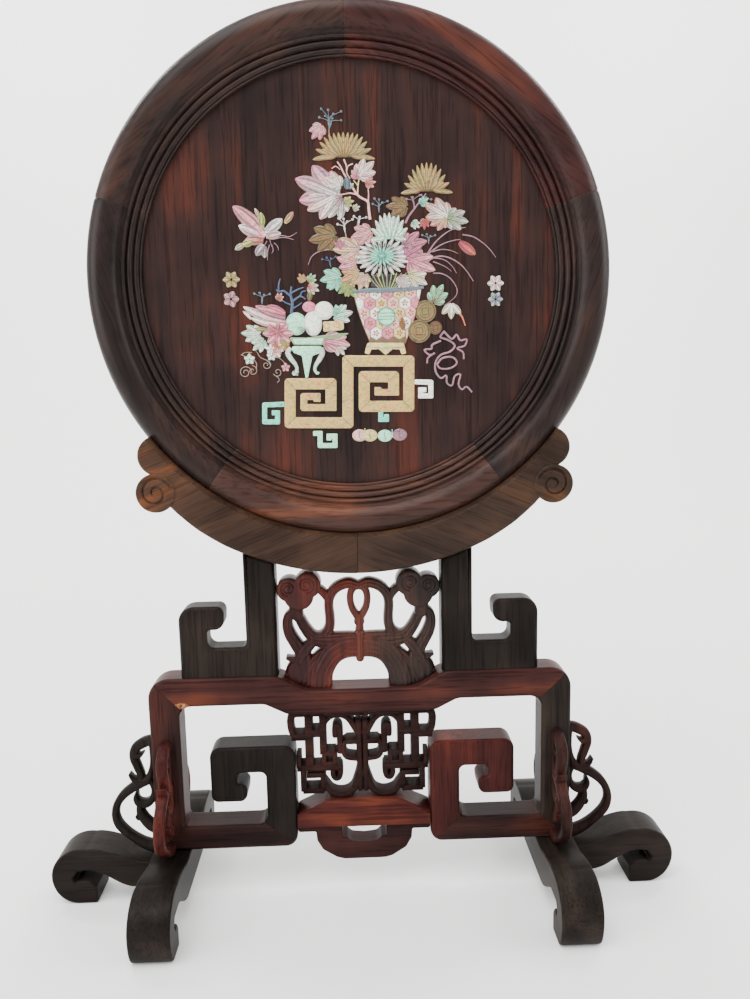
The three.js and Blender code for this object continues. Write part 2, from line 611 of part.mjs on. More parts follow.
// Upper carved panel: two ruyi heads, a double arch, side loops and a bow, drawn on half of a 66 x 100 grid
const CARVED_GRID = [66, 100];
const CARVED_STRANDS = [
  [[0, 84.5, 6], [8, 86, 6.5], [15.5, 83.5, 6.5], [21, 78, 6], [23.7, 70, 6], [23.8, 58, 6], [24.5, 48, 6.5],
    [29.5, 41, 7], [36, 40.5, 8.4], [41.5, 47, 8], [46.5, 56.5, 7], [51.5, 62, 6.5], [57, 58.5, 6.5],
    [58, 51, 7], [55, 42, 8], [50, 33, 8.5], [47.5, 24, 11], [49, 16, 18], [49.5, 8, 20]],
  [[35, 81.5, 5.4], [30, 77.5, 6], [24.5, 70.5, 5.4]],
  [[50, 74, 9], [51, 61, 9]],
  [[4.5, 84, 4.4], [6.8, 76, 4.4], [5.6, 66, 4.4], [0.8, 57, 4.6], [-2.5, 49, 4.6], [-2, 40, 5]],
  [[-1, 37.5, 9], [18, 38, 9], [36, 39, 8]],
  [[50, 21.8, 7], [59.6, 24.2, 3]],
  [[-1, 32, 17], [10, 32.5, 16.5], [20, 30, 15.5], [27.5, 21, 15], [32, 10, 15.5], [33, -4, 16]],
];
const CARVED_HEADS = [[41.8, 86.5, 9.8], [56, 83, 9.8], [48.5, 78.5, 10.6]];
const CARVED_STEM = [36, 88, 46, 110]; // left, foot, right and top of what joins the heads to the cradle
const CARVED_KNOT = [3.4, 22, 46]; // half width, foot and top of the knot in the middle
const CARVED_INTO = 6; // how far the drawing runs up past the cradle's lowest point

function makeCarvedPanel(cradle) {
  const half = L_INSIDE - FIT;
  const height = RING_Z - CRADLE_OUT_R - DIP_TOP + CARVED_INTO;
  const scaleX = half / CARVED_GRID[0];
  const scaleZ = height / CARVED_GRID[1];
  const up = (z) => DIP_TOP + z * scaleZ;
  const strands = openwork(CARVED_STRANDS, CARVED_DEPTH, ([x, z, w]) => [x * scaleX, up(z), w * scaleX]);
  const heads = joined(CARVED_HEADS.map(([x, z, r]) => slabSolid(
    disc(x * scaleX, up(z), r * scaleX, 14), CARVED_HEAD_DEPTH, 1)));
  const [stemLeft, stemFoot, stemRight, stemTop] = CARVED_STEM;
  const stem = slabSolid(box(stemLeft * scaleX, up(stemFoot), stemRight * scaleX, up(stemTop)), CARVED_DEPTH);
  const side = toGeometry(strands.add(heads).add(stem));
  const [knotHalf, knotFoot, knotTop] = CARVED_KNOT;
  const knot = box(-knotHalf * scaleX, up(knotFoot), knotHalf * scaleX, up(knotTop));
  const railTop = outline([[-half - L_WIDTH, 0], [half + L_WIDTH, 0], [half + L_WIDTH, GATE_TOP + FIT],
    [DIP_HALF + DIP_SLOPE, GATE_TOP + FIT], [DIP_HALF, DIP_TOP + FIT], [-DIP_HALF, DIP_TOP + FIT],
    [-DIP_HALF - DIP_SLOPE, GATE_TOP + FIT], [-half - L_WIDTH, GATE_TOP + FIT]]);
  const panel = toSolid(side).add(toSolid(mirrored(side))).add(slabSolid(knot, CARVED_HEAD_DEPTH, 1))
    .intersect(slabSolid(box(-half, DIP_TOP, half, RING_Z), GATE_DEPTH))
    .subtract(slabSolid(railTop, 2 * GATE_DEPTH)).subtract(cradle);
  add('carved_panel', toGeometry(panel), wood.red);
}

// Lattice between the scrolls: half of a 55.2 x 75.7 grid, bars of even width and a few bent ones
const LATTICE_GRID = [55.2, 75.7];
const LATTICE_BARS = [
  [[-1, 74.5], [61, 74.5], 4.1],
  [[58.2, 76], [58.2, 50], 4.8],
  [[43.9, 76], [43.9, 24], 5],
  [[32.3, 76], [32.3, 38], 4.3],
  [[61, 54], [43, 54], 4.3],
  [[43, 57.2], [31, 57.2], 5],
  [[60, 27], [17, 27], 3.8],
  [[32.8, 34.5], [21.4, 34.5], 13.9],
  [[20, 42], [16.5, 42], 3.6],
  [[-1, 48.9], [14, 48.9], 3.1],
  [[46.5, 20.3], [31.5, 20.3], 3.1],
  [[49.6, 28], [49.6, 5.6], 3.4],
  [[33.2, 21], [33.2, 6], 3.4],
  [[50.6, 6.9], [31.5, 6.9], 3.4],
  [[0, 70], [0, 10], 12.5],
];
const LATTICE_BENDS = [
  [[31, 62, 3.6], [29.2, 67, 3.6], [24.5, 70.6, 3.6], [18.5, 72, 3.6], [12.2, 69.6, 3.6],
    [7.8, 64, 3.8], [3, 57, 5.3]],
  [[22.2, 53.5, 3.8], [22.4, 59.5, 3.8], [20, 62.4, 3.6], [18.4, 59, 3.8], [18.4, 50, 3.8], [18.4, 40, 3.8]],
  [[13.5, 48.7, 3.4], [15.6, 44.8, 3.4], [15.4, 39.4, 3.4], [12.4, 35, 3.4], [4, 33.4, 3.4]],
  [[18.8, 27, 3.8], [18.8, 20, 3.8], [20.4, 16.8, 3.6], [23.4, 16.8, 3.6], [24.9, 20, 3.6], [24.7, 24, 3.6]],
  [[3, 20, 6], [6.4, 10, 4.3], [12, 4, 4.1], [18.5, 2.2, 4.1], [25.5, 4.2, 4.1],
    [29.6, 9, 4.1], [32.5, 12, 4.1]],
];
const LATTICE_PIN = [27.5, 35, 2.2];
const LATTICE_NOTCH = [4.5, 8]; // half width and depth of the V at the middle of its top

function makeLattice() {
  const foot = APRON_TOP;
  const half = SCROLL_INSIDE - FIT;
  const scaleX = half / LATTICE_GRID[0];
  const scaleZ = (SWELL_UNDER - foot) / LATTICE_GRID[1];
  const place = ([x, z, w]) => [x * scaleX, foot + z * scaleZ, w * scaleX];
  const bars = LATTICE_BARS.map(([from, to, w]) => [[...from, w], [...to, w]]);
  const straight = openwork(bars, LATTICE_DEPTH, place);
  const bent = openwork(LATTICE_BENDS, LATTICE_DEPTH, place);
  const pin = disc(LATTICE_PIN[0] * scaleX, foot + LATTICE_PIN[1] * scaleZ, LATTICE_PIN[2] * scaleX, 8);
  const side = toGeometry(straight.add(bent).subtract(slabSolid(pin, 2 * LATTICE_DEPTH)));
  const whole = toSolid(side).add(toSolid(mirrored(side)));
  const wing = SCROLL_TOP + FIT;
  const reach = SCROLL_INSIDE + LATTICE_WING;
  const top = SWELL_UNDER - FIT;
  const room = outline([[-half, foot + FIT], [half, foot + FIT], [half, wing], [reach, wing], [reach, top],
    [-reach, top], [-reach, wing], [-half, wing]]);
  const [notchHalf, notchDeep] = LATTICE_NOTCH.map((size) => size * scaleX);
  const notch = outline([[-notchHalf, SWELL_UNDER], [0, SWELL_UNDER - notchDeep], [notchHalf, SWELL_UNDER]]);
  const lattice = whole.intersect(slabSolid(room, GATE_DEPTH)).subtract(slabSolid(notch, GATE_DEPTH));
  add('lattice_panel', toGeometry(lattice), wood.brown);
}

// Apron: a rail between the scrolls with sloping ends, and a pierced pendant board under it
function makeApron() {
  const half = SCROLL_INSIDE - FIT;
  const wide = half / APRON_DRAWN;
  const flat = APRON_FLAT * wide;
  const ends = APRON_TOP - APRON_FALL;
  const bar = outline([[-half, APRON_BOTTOM], [half, APRON_BOTTOM], [half, ends],
    [flat, APRON_TOP, APRON_ROUND], [-flat, APRON_TOP, APRON_ROUND], [-half, ends]]);
  add('apron_rail', slab(bar, APRON_DEPTH, EDGE), wood.red);

  const top = APRON_BOTTOM - FIT;
  const shoulder = top - PENDANT_SHOULDER;
  const sole = top - PENDANT_DROP;
  const right = [[half, top], [half, shoulder], [PENDANT_HALF * wide, shoulder, 1],
    [(PENDANT_HALF - 0.5) * wide, sole + 14, 5], [(PENDANT_HALF - 16) * wide, sole + 1.5, 6],
    [(PENDANT_HALF - 22) * wide, sole, 10]];
  const board = outline([...right, ...right.map(([x, z, round]) => [-x, z, round]).reverse()]);
  const mouth = PENDANT_NOTCH_HALF * wide;
  const rim = PENDANT_NOTCH_RIM * wide;
  const notch = new THREE.Shape();
  notch.moveTo(-mouth, top + FIT);
  notch.lineTo(-mouth, shoulder);
  notch.lineTo(-rim, shoulder);
  notch.quadraticCurveTo(-rim / 2, top - PENDANT_NOTCH, 0, top - PENDANT_NOTCH);
  notch.quadraticCurveTo(rim / 2, top - PENDANT_NOTCH, rim, shoulder);
  notch.lineTo(mouth, shoulder);
  notch.lineTo(mouth, top + FIT);
  const pendant = slabSolid(board, PENDANT_DEPTH).subtract(slabSolid(notch, 2 * PENDANT_DEPTH));
  add('apron_pendant', toGeometry(pendant), wood.red);
}

const cradle = underCradle();
makeRing();
makeBoard();
makeCradle();
makeLPosts(cradle);
makeCarvedPanel(cradle);
makeGate();
makeLattice();
makeApron();
makeFeet();
makeBrackets();

export default screen;
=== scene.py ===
# %% [markdown]
# # A round table screen in dark rosewood
# The CAD model gives every piece of wood its place and size. This lesson dresses it: rounded edges, carved
# strands, turned mouldings, wood that shows its grain, and a picture laid in shell and bone.
# The frame is loaded first, with a way to read the box of any of its pieces. The finished model may not
# outgrow it.

# %% Load the frame
from math import cos, pi, radians, sin

import bpy
import numpy as np
from mathutils import Matrix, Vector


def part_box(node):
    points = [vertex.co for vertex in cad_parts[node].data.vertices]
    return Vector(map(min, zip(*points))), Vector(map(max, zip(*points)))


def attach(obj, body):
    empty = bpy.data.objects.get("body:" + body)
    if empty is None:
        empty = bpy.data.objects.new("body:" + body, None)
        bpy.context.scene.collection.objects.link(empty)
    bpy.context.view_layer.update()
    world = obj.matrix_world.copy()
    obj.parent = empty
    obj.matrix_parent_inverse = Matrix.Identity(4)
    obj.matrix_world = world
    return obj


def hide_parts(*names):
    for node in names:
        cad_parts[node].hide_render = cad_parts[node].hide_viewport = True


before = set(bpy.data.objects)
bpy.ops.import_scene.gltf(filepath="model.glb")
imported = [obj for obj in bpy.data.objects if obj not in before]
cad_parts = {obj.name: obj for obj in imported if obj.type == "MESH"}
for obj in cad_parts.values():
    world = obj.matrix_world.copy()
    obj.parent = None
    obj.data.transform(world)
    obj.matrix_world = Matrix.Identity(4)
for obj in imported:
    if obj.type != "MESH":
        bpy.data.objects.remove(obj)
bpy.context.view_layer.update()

MM = 0.001
print("pieces of wood in the frame:", len(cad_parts))

# %% [markdown]
# ## Camera
# The photograph was taken from a little above the stand with a wide lens, so the near feet look large. The
# camera stands where the photograph's lines meet, and is turned by yaw, pitch and roll. It could be aimed with a
# Track To constraint, but a matrix of three directions holds the slight roll too.

# %% Camera
EYE = (-0.0028, -0.6270, 0.4213)
YAW, PITCH, ROLL = radians(1.63), radians(8.19), radians(1.22)
PICTURE_LONG_SIDE = 999
FOCAL_PIXELS = 791.5
SENSOR = 36.0

ahead = np.array([sin(YAW) * cos(PITCH), cos(YAW) * cos(PITCH), -sin(PITCH)])
level = np.array([cos(YAW), -sin(YAW), 0.0])
below = np.cross(ahead, level)
camera_x = cos(ROLL) * level + sin(ROLL) * below
camera_y = sin(ROLL) * level - cos(ROLL) * below
camera_data = bpy.data.cameras.new("camera")
camera_data.sensor_width = SENSOR
camera_data.lens = FOCAL_PIXELS * SENSOR / PICTURE_LONG_SIDE
camera = bpy.data.objects.new("camera", camera_data)
camera.matrix_world = Matrix((
    (camera_x[0], camera_y[0], -ahead[0], EYE[0]),
    (camera_x[1], camera_y[1], -ahead[1], EYE[1]),
    (camera_x[2], camera_y[2], -ahead[2], EYE[2]),
    (0, 0, 0, 1)))
bpy.context.scene.collection.objects.link(camera)
bpy.context.scene.camera = camera
print("lens in millimetres:", round(camera_data.lens, 2))

# %% [markdown]
# ## Floor and light
# A photographer would roll out a sheet of pale paper and light it from large soft windows. The sheet runs flat
# under the screen and rises behind it in one curve, so no line shows where floor and wall meet. Three windows
# light the screen, and two lamps light the paper behind it.

# %% Floor and light
def flat_material(name, colour, roughness):
    """One plain colour, for the paper sweep."""
    material = bpy.data.materials.new(name)
    material.use_nodes = True
    shader = material.node_tree.nodes["Principled BSDF"]
    shader.inputs["Base Color"].default_value = (*colour, 1)
    shader.inputs["Roughness"].default_value = roughness
    return material


def paper_sweep(half_width=6.0, front=-3.0, bend=1.6, radius=1.2, top=4.0):
    """A flat floor, a quarter circle and a wall, as one strip carried across the width."""
    turn = np.linspace(0, pi / 2, 24)
    y = np.concatenate([[front], bend + radius * np.sin(turn), [bend + radius]])
    z = np.concatenate([[0.0], radius * (1 - np.cos(turn)), [top]])
    left = np.stack([np.full_like(y, -half_width), y, z], axis=1)
    right = left * [-1, 1, 1]
    count = len(y)
    row = np.arange(count - 1)
    faces = np.stack([row, row + count, row + count + 1, row + 1], axis=1)
    mesh = bpy.data.meshes.new("paper_sweep")
    mesh.from_pydata(np.concatenate([left, right]), [], faces.tolist())
    mesh.polygons.foreach_set("use_smooth", np.ones(len(faces), dtype=bool))
    sweep = bpy.data.objects.new("paper_sweep", mesh)
    bpy.context.scene.collection.objects.link(sweep)
    return sweep


def soft_window(name, place, target, size, power):
    """A large square lamp at one place, facing another."""
    data = bpy.data.lights.new(name, "AREA")
    data.size = size
    data.energy = power
    lamp = bpy.data.objects.new(name, data)
    back = np.array(place, dtype=float) - target
    back /= np.linalg.norm(back)
    side = np.cross([0, 0, 1], back)
    side /= np.linalg.norm(side)
    up = np.cross(back, side)
    turned = np.stack([side, up, back], axis=1)
    lamp.matrix_world = Matrix([[*row, spot] for row, spot in zip(turned, place)] + [[0, 0, 0, 1]])
    bpy.context.scene.collection.objects.link(lamp)
    return lamp


sweep = paper_sweep()
sweep.data.materials.append(flat_material("pale_paper", (0.95, 0.945, 0.935), 0.9))
soft_window("window_above", (-0.5, -0.9, 2.4), (0, 0, 0.3), 1.8, 68)
soft_window("window_left", (-2.2, -0.9, 1.0), (0, 0, 0.35), 1.6, 46)
soft_window("window_right", (2.2, -0.3, 1.2), (0, 0, 0.35), 1.4, 34)
for side in (-1, 1):
    soft_window(f"paper_lamp_{side + 2}", (1.5 * side, 1.3, 2.3), (0.4 * side, 2.8, 0.9), 1.0, 60)
world = bpy.data.worlds.new("studio")
world.use_nodes = True
world.node_tree.nodes["Background"].inputs["Color"].default_value = (1.0, 1.0, 1.0, 1)
world.node_tree.nodes["Background"].inputs["Strength"].default_value = 1.15
bpy.context.scene.world = world
print("lights:", len(bpy.data.lights))

# %% [markdown]
# ## Wood
# Rosewood is dark with long streaks of orange and near-black, and its open pores show as fine dashes along the
# grain. The streaks are a noise stretched along the plank, the pores a finer one. Every plank has its own
# direction and its own offset, so no two look cut from the same board. Wax makes it shine unevenly. A scanned
# picture of wood would be quicker, but it would show the same figure on every piece.

# %% Wood
STREAK_SCALE = (2.2, 46, 46)
PATCH_SCALE = 14
PORE_SCALE = (26, 620, 620)
STREAK_SHARE, PATCH_SHARE = 0.6, 0.45
SPLINTER_SCALE = 380
SPLINTER_TONES = [(0.40, (0.060, 0.020, 0.008)), (0.52, (0.28, 0.105, 0.040)), (0.62, (0.42, 0.22, 0.13))]


def ramp(nodes, stops):
    """A colour ramp with the given (place, colour) stops."""
    node = nodes.new("ShaderNodeValToRGB")
    while len(node.color_ramp.elements) < len(stops):
        node.color_ramp.elements.new(1.0)
    for element, (place, colour) in zip(node.color_ramp.elements, stops):
        element.position = place
        element.color = (*colour, 1)
    return node


def noise(nodes, links, coords, scale, detail, roughness=0.55):
    """A noise texture read at the given coordinates."""
    node = nodes.new("ShaderNodeTexNoise")
    node.inputs["Scale"].default_value = scale
    node.inputs["Detail"].default_value = detail
    node.inputs["Roughness"].default_value = roughness
    links.new(coords, node.inputs["Vector"])
    return node


def fades_over(nodes, links, place, amount, first, second, start, end):
    """Mix from the first colour to the second between two places along an axis, on an uneven edge."""
    parts = nodes.new("ShaderNodeSeparateXYZ")
    links.new(place, parts.inputs["Vector"])
    uneven = nodes.new("ShaderNodeMath")
    uneven.operation = "MULTIPLY_ADD"
    uneven.inputs[1].default_value = (end - start) * 1.5
    links.new(amount, uneven.inputs[0])
    links.new(parts.outputs["X"], uneven.inputs[2])
    share = nodes.new("ShaderNodeMapRange")
    share.inputs["From Min"].default_value = start + (end - start) * 0.75
    share.inputs["From Max"].default_value = end + (end - start) * 0.75
    links.new(uneven.outputs["Value"], share.inputs["Value"])
    mix = nodes.new("ShaderNodeMix")
    mix.data_type = "RGBA"
    links.new(share.outputs["Result"], mix.inputs["Factor"])
    links.new(first, mix.inputs["A"])
    links.new(second, mix.inputs["B"])
    return mix.outputs["Result"]


def chipped(nodes, links, place, colour, centre, reach):
    """Show bare lighter wood where a splinter broke off an edge.

    It shows where half of (distance from the centre as a share of the reach + noise) is below about two thirds.
    """
    steps = []
    for operation, value in (("SUBTRACT", centre), ("DIVIDE", reach), ("LENGTH", None)):
        step = nodes.new("ShaderNodeVectorMath")
        step.operation = operation
        links.new(steps[-1].outputs["Vector"] if steps else place, step.inputs[0])
        if value:
            step.inputs[1].default_value = value
        steps.append(step)
    ragged = noise(nodes, links, place, SPLINTER_SCALE, 3, 0.6)
    total = nodes.new("ShaderNodeMath")
    links.new(steps[-1].outputs["Value"], total.inputs[0])
    links.new(ragged.outputs["Fac"], total.inputs[1])
    inside = ramp(nodes, [(0.60, (1, 1, 1)), (0.74, (0, 0, 0))])
    half = nodes.new("ShaderNodeMath")
    half.operation = "MULTIPLY"
    half.inputs[1].default_value = 0.5
    links.new(total.outputs["Value"], half.inputs[0])
    links.new(half.outputs["Value"], inside.inputs["Fac"])
    splinter = ramp(nodes, SPLINTER_TONES)
    links.new(ragged.outputs["Fac"], splinter.inputs["Fac"])
    mix = nodes.new("ShaderNodeMix")
    mix.data_type = "RGBA"
    links.new(inside.outputs["Color"], mix.inputs["Factor"])
    links.new(colour, mix.inputs["A"])
    links.new(splinter.outputs["Color"], mix.inputs["B"])
    return mix.outputs["Result"]


def wood(name, dark, mid, light, turn=(0, 0, 0), offset=(0, 0, 0), gloss=0.34, level=0.035,
         streak=(0.41, 0.55, 0.68), fade=None, chip=None):
    """Grain along local X, turned to the plank: colour = ramp of streaks + broad patches, bump = pores.

    Gloss is the middle roughness and level the strength of the mirror-like reflection. A fade (tone, start, end)
    changes the wood to another tone between two places from left to right. A chip (centre, reach) bares lighter
    wood round one place.
    """
    material = bpy.data.materials.new(name)
    material.use_nodes = True
    nodes, links = material.node_tree.nodes, material.node_tree.links
    shader = nodes["Principled BSDF"]
    place = nodes.new("ShaderNodeTexCoord")
    plank = nodes.new("ShaderNodeMapping")
    plank.inputs["Rotation"].default_value = [radians(angle) for angle in turn]
    plank.inputs["Location"].default_value = offset
    links.new(place.outputs["Object"], plank.inputs["Vector"])
    along = nodes.new("ShaderNodeMapping")
    along.inputs["Scale"].default_value = STREAK_SCALE
    links.new(plank.outputs["Vector"], along.inputs["Vector"])
    streaks = noise(nodes, links, along.outputs["Vector"], 1.0, 5, 0.62)
    patches = noise(nodes, links, plank.outputs["Vector"], PATCH_SCALE, 3, 0.5)
    blend = nodes.new("ShaderNodeMath")
    blend.operation = "MULTIPLY_ADD"
    blend.inputs[1].default_value = PATCH_SHARE
    links.new(patches.outputs["Fac"], blend.inputs[0])
    weaker = nodes.new("ShaderNodeMath")
    weaker.operation = "MULTIPLY"
    weaker.inputs[1].default_value = STREAK_SHARE
    links.new(streaks.outputs["Fac"], weaker.inputs[0])
    links.new(weaker.outputs["Value"], blend.inputs[2])
    tone = ramp(nodes, list(zip(streak, (dark, mid, light))))
    links.new(blend.outputs["Value"], tone.inputs["Fac"])
    colour = tone.outputs["Color"]
    if fade:
        other = ramp(nodes, list(zip(streak, TONES[fade[0]])))
        links.new(blend.outputs["Value"], other.inputs["Fac"])
        colour = fades_over(nodes, links, place.outputs["Object"], patches.outputs["Fac"], colour,
                            other.outputs["Color"], *fade[1:])
    if chip:
        colour = chipped(nodes, links, place.outputs["Object"], colour, *chip)
    fine = nodes.new("ShaderNodeMapping")
    fine.inputs["Scale"].default_value = PORE_SCALE
    links.new(plank.outputs["Vector"], fine.inputs["Vector"])
    pores = noise(nodes, links, fine.outputs["Vector"], 1.0, 2, 0.5)
    pore_mask = ramp(nodes, [(0.36, (0.62, 0.6, 0.6)), (0.48, (1, 1, 1))])
    links.new(pores.outputs["Fac"], pore_mask.inputs["Fac"])
    tint = nodes.new("ShaderNodeMix")
    tint.data_type = "RGBA"
    tint.blend_type = "MULTIPLY"
    tint.inputs["Factor"].default_value = 1.0
    links.new(colour, tint.inputs["A"])
    links.new(pore_mask.outputs["Color"], tint.inputs["B"])
    links.new(tint.outputs["Result"], shader.inputs["Base Color"])
    shine = nodes.new("ShaderNodeMapRange")
    shine.inputs["To Min"].default_value = gloss - 0.07
    shine.inputs["To Max"].default_value = gloss + 0.16
    links.new(patches.outputs["Fac"], shine.inputs["Value"])
    links.new(shine.outputs["Result"], shader.inputs["Roughness"])
    bump = nodes.new("ShaderNodeBump")
    bump.inputs["Strength"].default_value = 0.25
    bump.inputs["Distance"].default_value = 0.0003
    links.new(pores.outputs["Fac"], bump.inputs["Height"])
    links.new(bump.outputs["Normal"], shader.inputs["Normal"])
    shader.inputs["Specular IOR Level"].default_value = level
    shader.inputs["Coat Weight"].default_value = 0.02
    shader.inputs["Coat Roughness"].default_value = 0.3
    return material


TONES = {
    "black": ((0.0070, 0.0054, 0.0046), (0.0128, 0.0098, 0.0082), (0.026, 0.0180, 0.0140)),
    "dark": ((0.0100, 0.0066, 0.0060), (0.0190, 0.0118, 0.0104), (0.042, 0.0200, 0.0150)),
    "umber": ((0.0160, 0.0094, 0.0068), (0.0330, 0.0190, 0.0128), (0.072, 0.0330, 0.0150)),
    "amber": ((0.0230, 0.0120, 0.0080), (0.0500, 0.0260, 0.0160), (0.160, 0.0520, 0.0160)),
    "red": ((0.0170, 0.0072, 0.0066), (0.0360, 0.0130, 0.0114), (0.088, 0.0250, 0.0150)),
    "brick": ((0.0230, 0.0072, 0.0062), (0.0520, 0.0132, 0.0104), (0.140, 0.0340, 0.0160)),
    "crimson": ((0.0170, 0.0058, 0.0054), (0.0400, 0.0104, 0.0088), (0.110, 0.0230, 0.0145)),
    "orange": ((0.0240, 0.0124, 0.0100), (0.0470, 0.0225, 0.0170), (0.135, 0.0450, 0.0220)),
    "plum": ((0.0105, 0.0056, 0.0052), (0.0205, 0.0094, 0.0082), (0.050, 0.0160, 0.0120)),
}
LENGTHWAYS = {"x": (0, 0, 0), "y": (0, 0, 90), "z": (0, 90, 0)}
cut_count = 0


def cut_from(tone, grain="x", tilt=0.0, **finish):
    """A fresh plank of one tone: the grain runs along an axis, tilted in the front view by some degrees."""
    global cut_count
    cut_count += 1
    turn = np.array(LENGTHWAYS[grain], dtype=float) + [0, tilt, 0]
    offset = (0.37 * cut_count, 0.11 * cut_count, 0.23 * cut_count)
    return wood(f"{tone}_wood_{cut_count}", *TONES[tone], turn=turn, offset=offset, **finish)


print("tones of wood:", ", ".join(TONES))

# %% [markdown]
# ## Ways to make a surface
# Nearly every piece here is one of three things: a section carried along a path, a flat outline given a
# thickness, or a section turned about an axis. All three are grids of points, so they are worked out as whole
# arrays, in millimetres, and made into a mesh at the end. A closed mesh has a positive volume only when its faces
# point outwards, so the volume is measured and the faces are turned round when it comes out negative.

# %% Meshes from grids
def grid_quads(rows, columns):
    """Four-cornered faces between neighbouring rows and columns of points; the last column meets the first."""
    row, column = np.meshgrid(np.arange(rows - 1), np.arange(columns), indexing="ij")
    nxt = (column + 1) % columns
    corners = [row * columns + column, row * columns + nxt, (row + 1) * columns + nxt, (row + 1) * columns + column]
    return np.stack(corners, axis=-1).reshape(-1, 4)


def volume(points, faces):
    """Six times the volume: the sum of the signed boxes of a fan of triangles in every face."""
    total = 0.0
    for face in faces:
        corners = points[np.asarray(face)]
        first = np.broadcast_to(corners[0], corners[2:].shape)
        total += np.einsum("ij,ij->", np.cross(corners[1:-1], corners[2:]), first)
    return total


def outward(points, faces):
    """The same faces, wound so that they point out of the closed shape."""
    quads = np.asarray(faces, dtype=int) if len({len(face) for face in faces}) == 1 else None
    if quads is not None:
        corner = points[quads]
        signed = sum(np.einsum("ij,ij->", corner[:, 0], np.cross(corner[:, k], corner[:, k + 1]))
                     for k in range(1, quads.shape[1] - 1))
    else:
        signed = volume(points, faces)
    return faces if signed > 0 else [list(face)[::-1] for face in faces]


def together(parts):
    """Several (points, faces) shapes as one."""
    points, faces, start = [], [], 0
    for part_points, part_faces in parts:
        points.append(part_points)
        faces.extend((np.asarray(face) + start).tolist() for face in part_faces)
        start += len(part_points)
    return np.concatenate(points), faces


def piece(name, shape, material, node=None, sharp=None):
    """Put a (points in mm, faces) shape into the scene as one smooth piece that rides on the whole.

    Where a node is named, the piece stands for it; edges sharper than the given angle stay crisp.
    """
    points, faces = shape
    mesh = bpy.data.meshes.new(name)
    mesh.from_pydata(points * MM, [], [list(map(int, face)) for face in faces])
    mesh.polygons.foreach_set("use_smooth", np.ones(len(mesh.polygons), dtype=bool))
    if sharp:
        mesh.set_sharp_from_angle(angle=radians(sharp))
    mesh.materials.append(material)
    thing = bpy.data.objects.new(name, mesh)
    bpy.context.scene.collection.objects.link(thing)
    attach(thing, "root")
    if node:
        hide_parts(node)
    return thing


def mirror(shape):
    """The left-hand twin of a right-hand shape."""
    points, faces = shape
    return points * [-1, 1, 1], [list(face)[::-1] for face in faces]


def swept(sections, ease=0.0):
    """A closed tube through rows of section points, each end shut by one face.

    Ease draws each end in by that length and its neighbour halfway, as a small chamfer.
    """
    if ease:
        first, last = sections[0], sections[-1]
        ends = [end + (end.mean(axis=0) - end) * ease / np.abs(end - end.mean(axis=0)).max() for end in (first, last)]
        inset = [second + (end - second) * 0.5 for second, end in ((sections[1], first), (sections[-2], last))]
        sections = np.concatenate([[ends[0], inset[0]], sections[1:-1], [inset[1], ends[1]]])
    rows, columns = sections.shape[:2]
    points = sections.reshape(-1, 3)
    faces = grid_quads(rows, columns).tolist()
    faces.append(list(range(columns))[::-1])
    faces.append(list(range((rows - 1) * columns, rows * columns)))
    return points, outward(points, faces)


print("faces between 3 rows of 4 points:", len(grid_quads(3, 4)))

# %% [markdown]
# ## The moulded ring
# The ring is five curved lengths of wood, each sawn from its own straight plank, so the grain of each runs along
# its chord and the colours differ. The section is a large half round, a fine groove and a group of small beads
# that step down to the board. It could be turned with Blender's Spin, but the section carried round the centre
# as a grid gives the joints exactly where the frame has them.

# %% Ring section
RING_R = 200.0
RING_HALF_DEPTH = 15.0
MOULDING_HALF = 13.5
SIGHT_R = 157.5
BOARD_RIM = 4.0
BOARD_HALF = 4.0
FIT = 0.3
JOINT_GAP = 0.01
ring_low, ring_high = (np.array(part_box("board")) / MM)
RING_Z = float(ring_low[2] + ring_high[2]) / 2
print("centre of the ring, mm above the table:", round(RING_Z, 1))
BEADS = [(0, 1.6, 0.6, 6.9, 5), (1.8, 6.3, 1.9, 6.2, 9), (6.6, 11.4, 3.0, 6.6, 9), (11.8, 15.4, 2.6, 7.6, 7)]


def bead(start, end, rise, base, count):
    """A half wave between two radii: depth = base + rise x root of sine, so it is round on top."""
    share = np.linspace(0, 1, count)
    return np.stack([start + (end - start) * share, -(base + rise * np.sin(pi * share) ** 0.6)], axis=1)


def ring_section():
    """The ring's section as (radius, depth) points: beads, groove, half round, plain back and board groove."""
    inner = RING_R - 2 * MOULDING_HALF
    front = [bead(SIGHT_R + start, SIGHT_R + end, rise, base, count) for start, end, rise, base, count in BEADS]
    turn = np.radians(np.linspace(-146, 146, 61))
    outer = np.stack([RING_R - MOULDING_HALF + MOULDING_HALF * np.cos(turn), RING_HALF_DEPTH * np.sin(turn)], axis=1)
    rim = SIGHT_R + BOARD_RIM + FIT
    groove = BOARD_HALF + FIT
    back = np.array([[inner + 1, 7.6], [inner - 2, 8.4], [SIGHT_R + 2.2, 8.4], [SIGHT_R + 0.5, 8.0], [SIGHT_R, 7.0],
                     [SIGHT_R, groove], [rim, groove], [rim, -groove], [SIGHT_R, -groove], [SIGHT_R, -6.4]])
    return np.concatenate([*front, outer, back])


def carried_round(section, start, end, step=1.0, centre_z=RING_Z):
    """Carry a section round the ring's axis: x = r sin a, y = depth, z = centre + r cos a."""
    angle = np.radians(np.linspace(start, end, int(round(abs(end - start) / step)) + 1))[:, None]
    r, y = section[:, 0][None], section[:, 1][None]
    depth = np.broadcast_to(y, (len(angle), len(section)))
    return np.stack([r * np.sin(angle), depth, centre_z + r * np.cos(angle)], axis=-1)


# %% [markdown]
# ## The five felloes
# Each felloe is the section carried through a fifth of the turn, a hair short at both ends, so that the radial
# joints show. One whole ring with painted joints would be simpler, but its grain couldn't change at a joint.

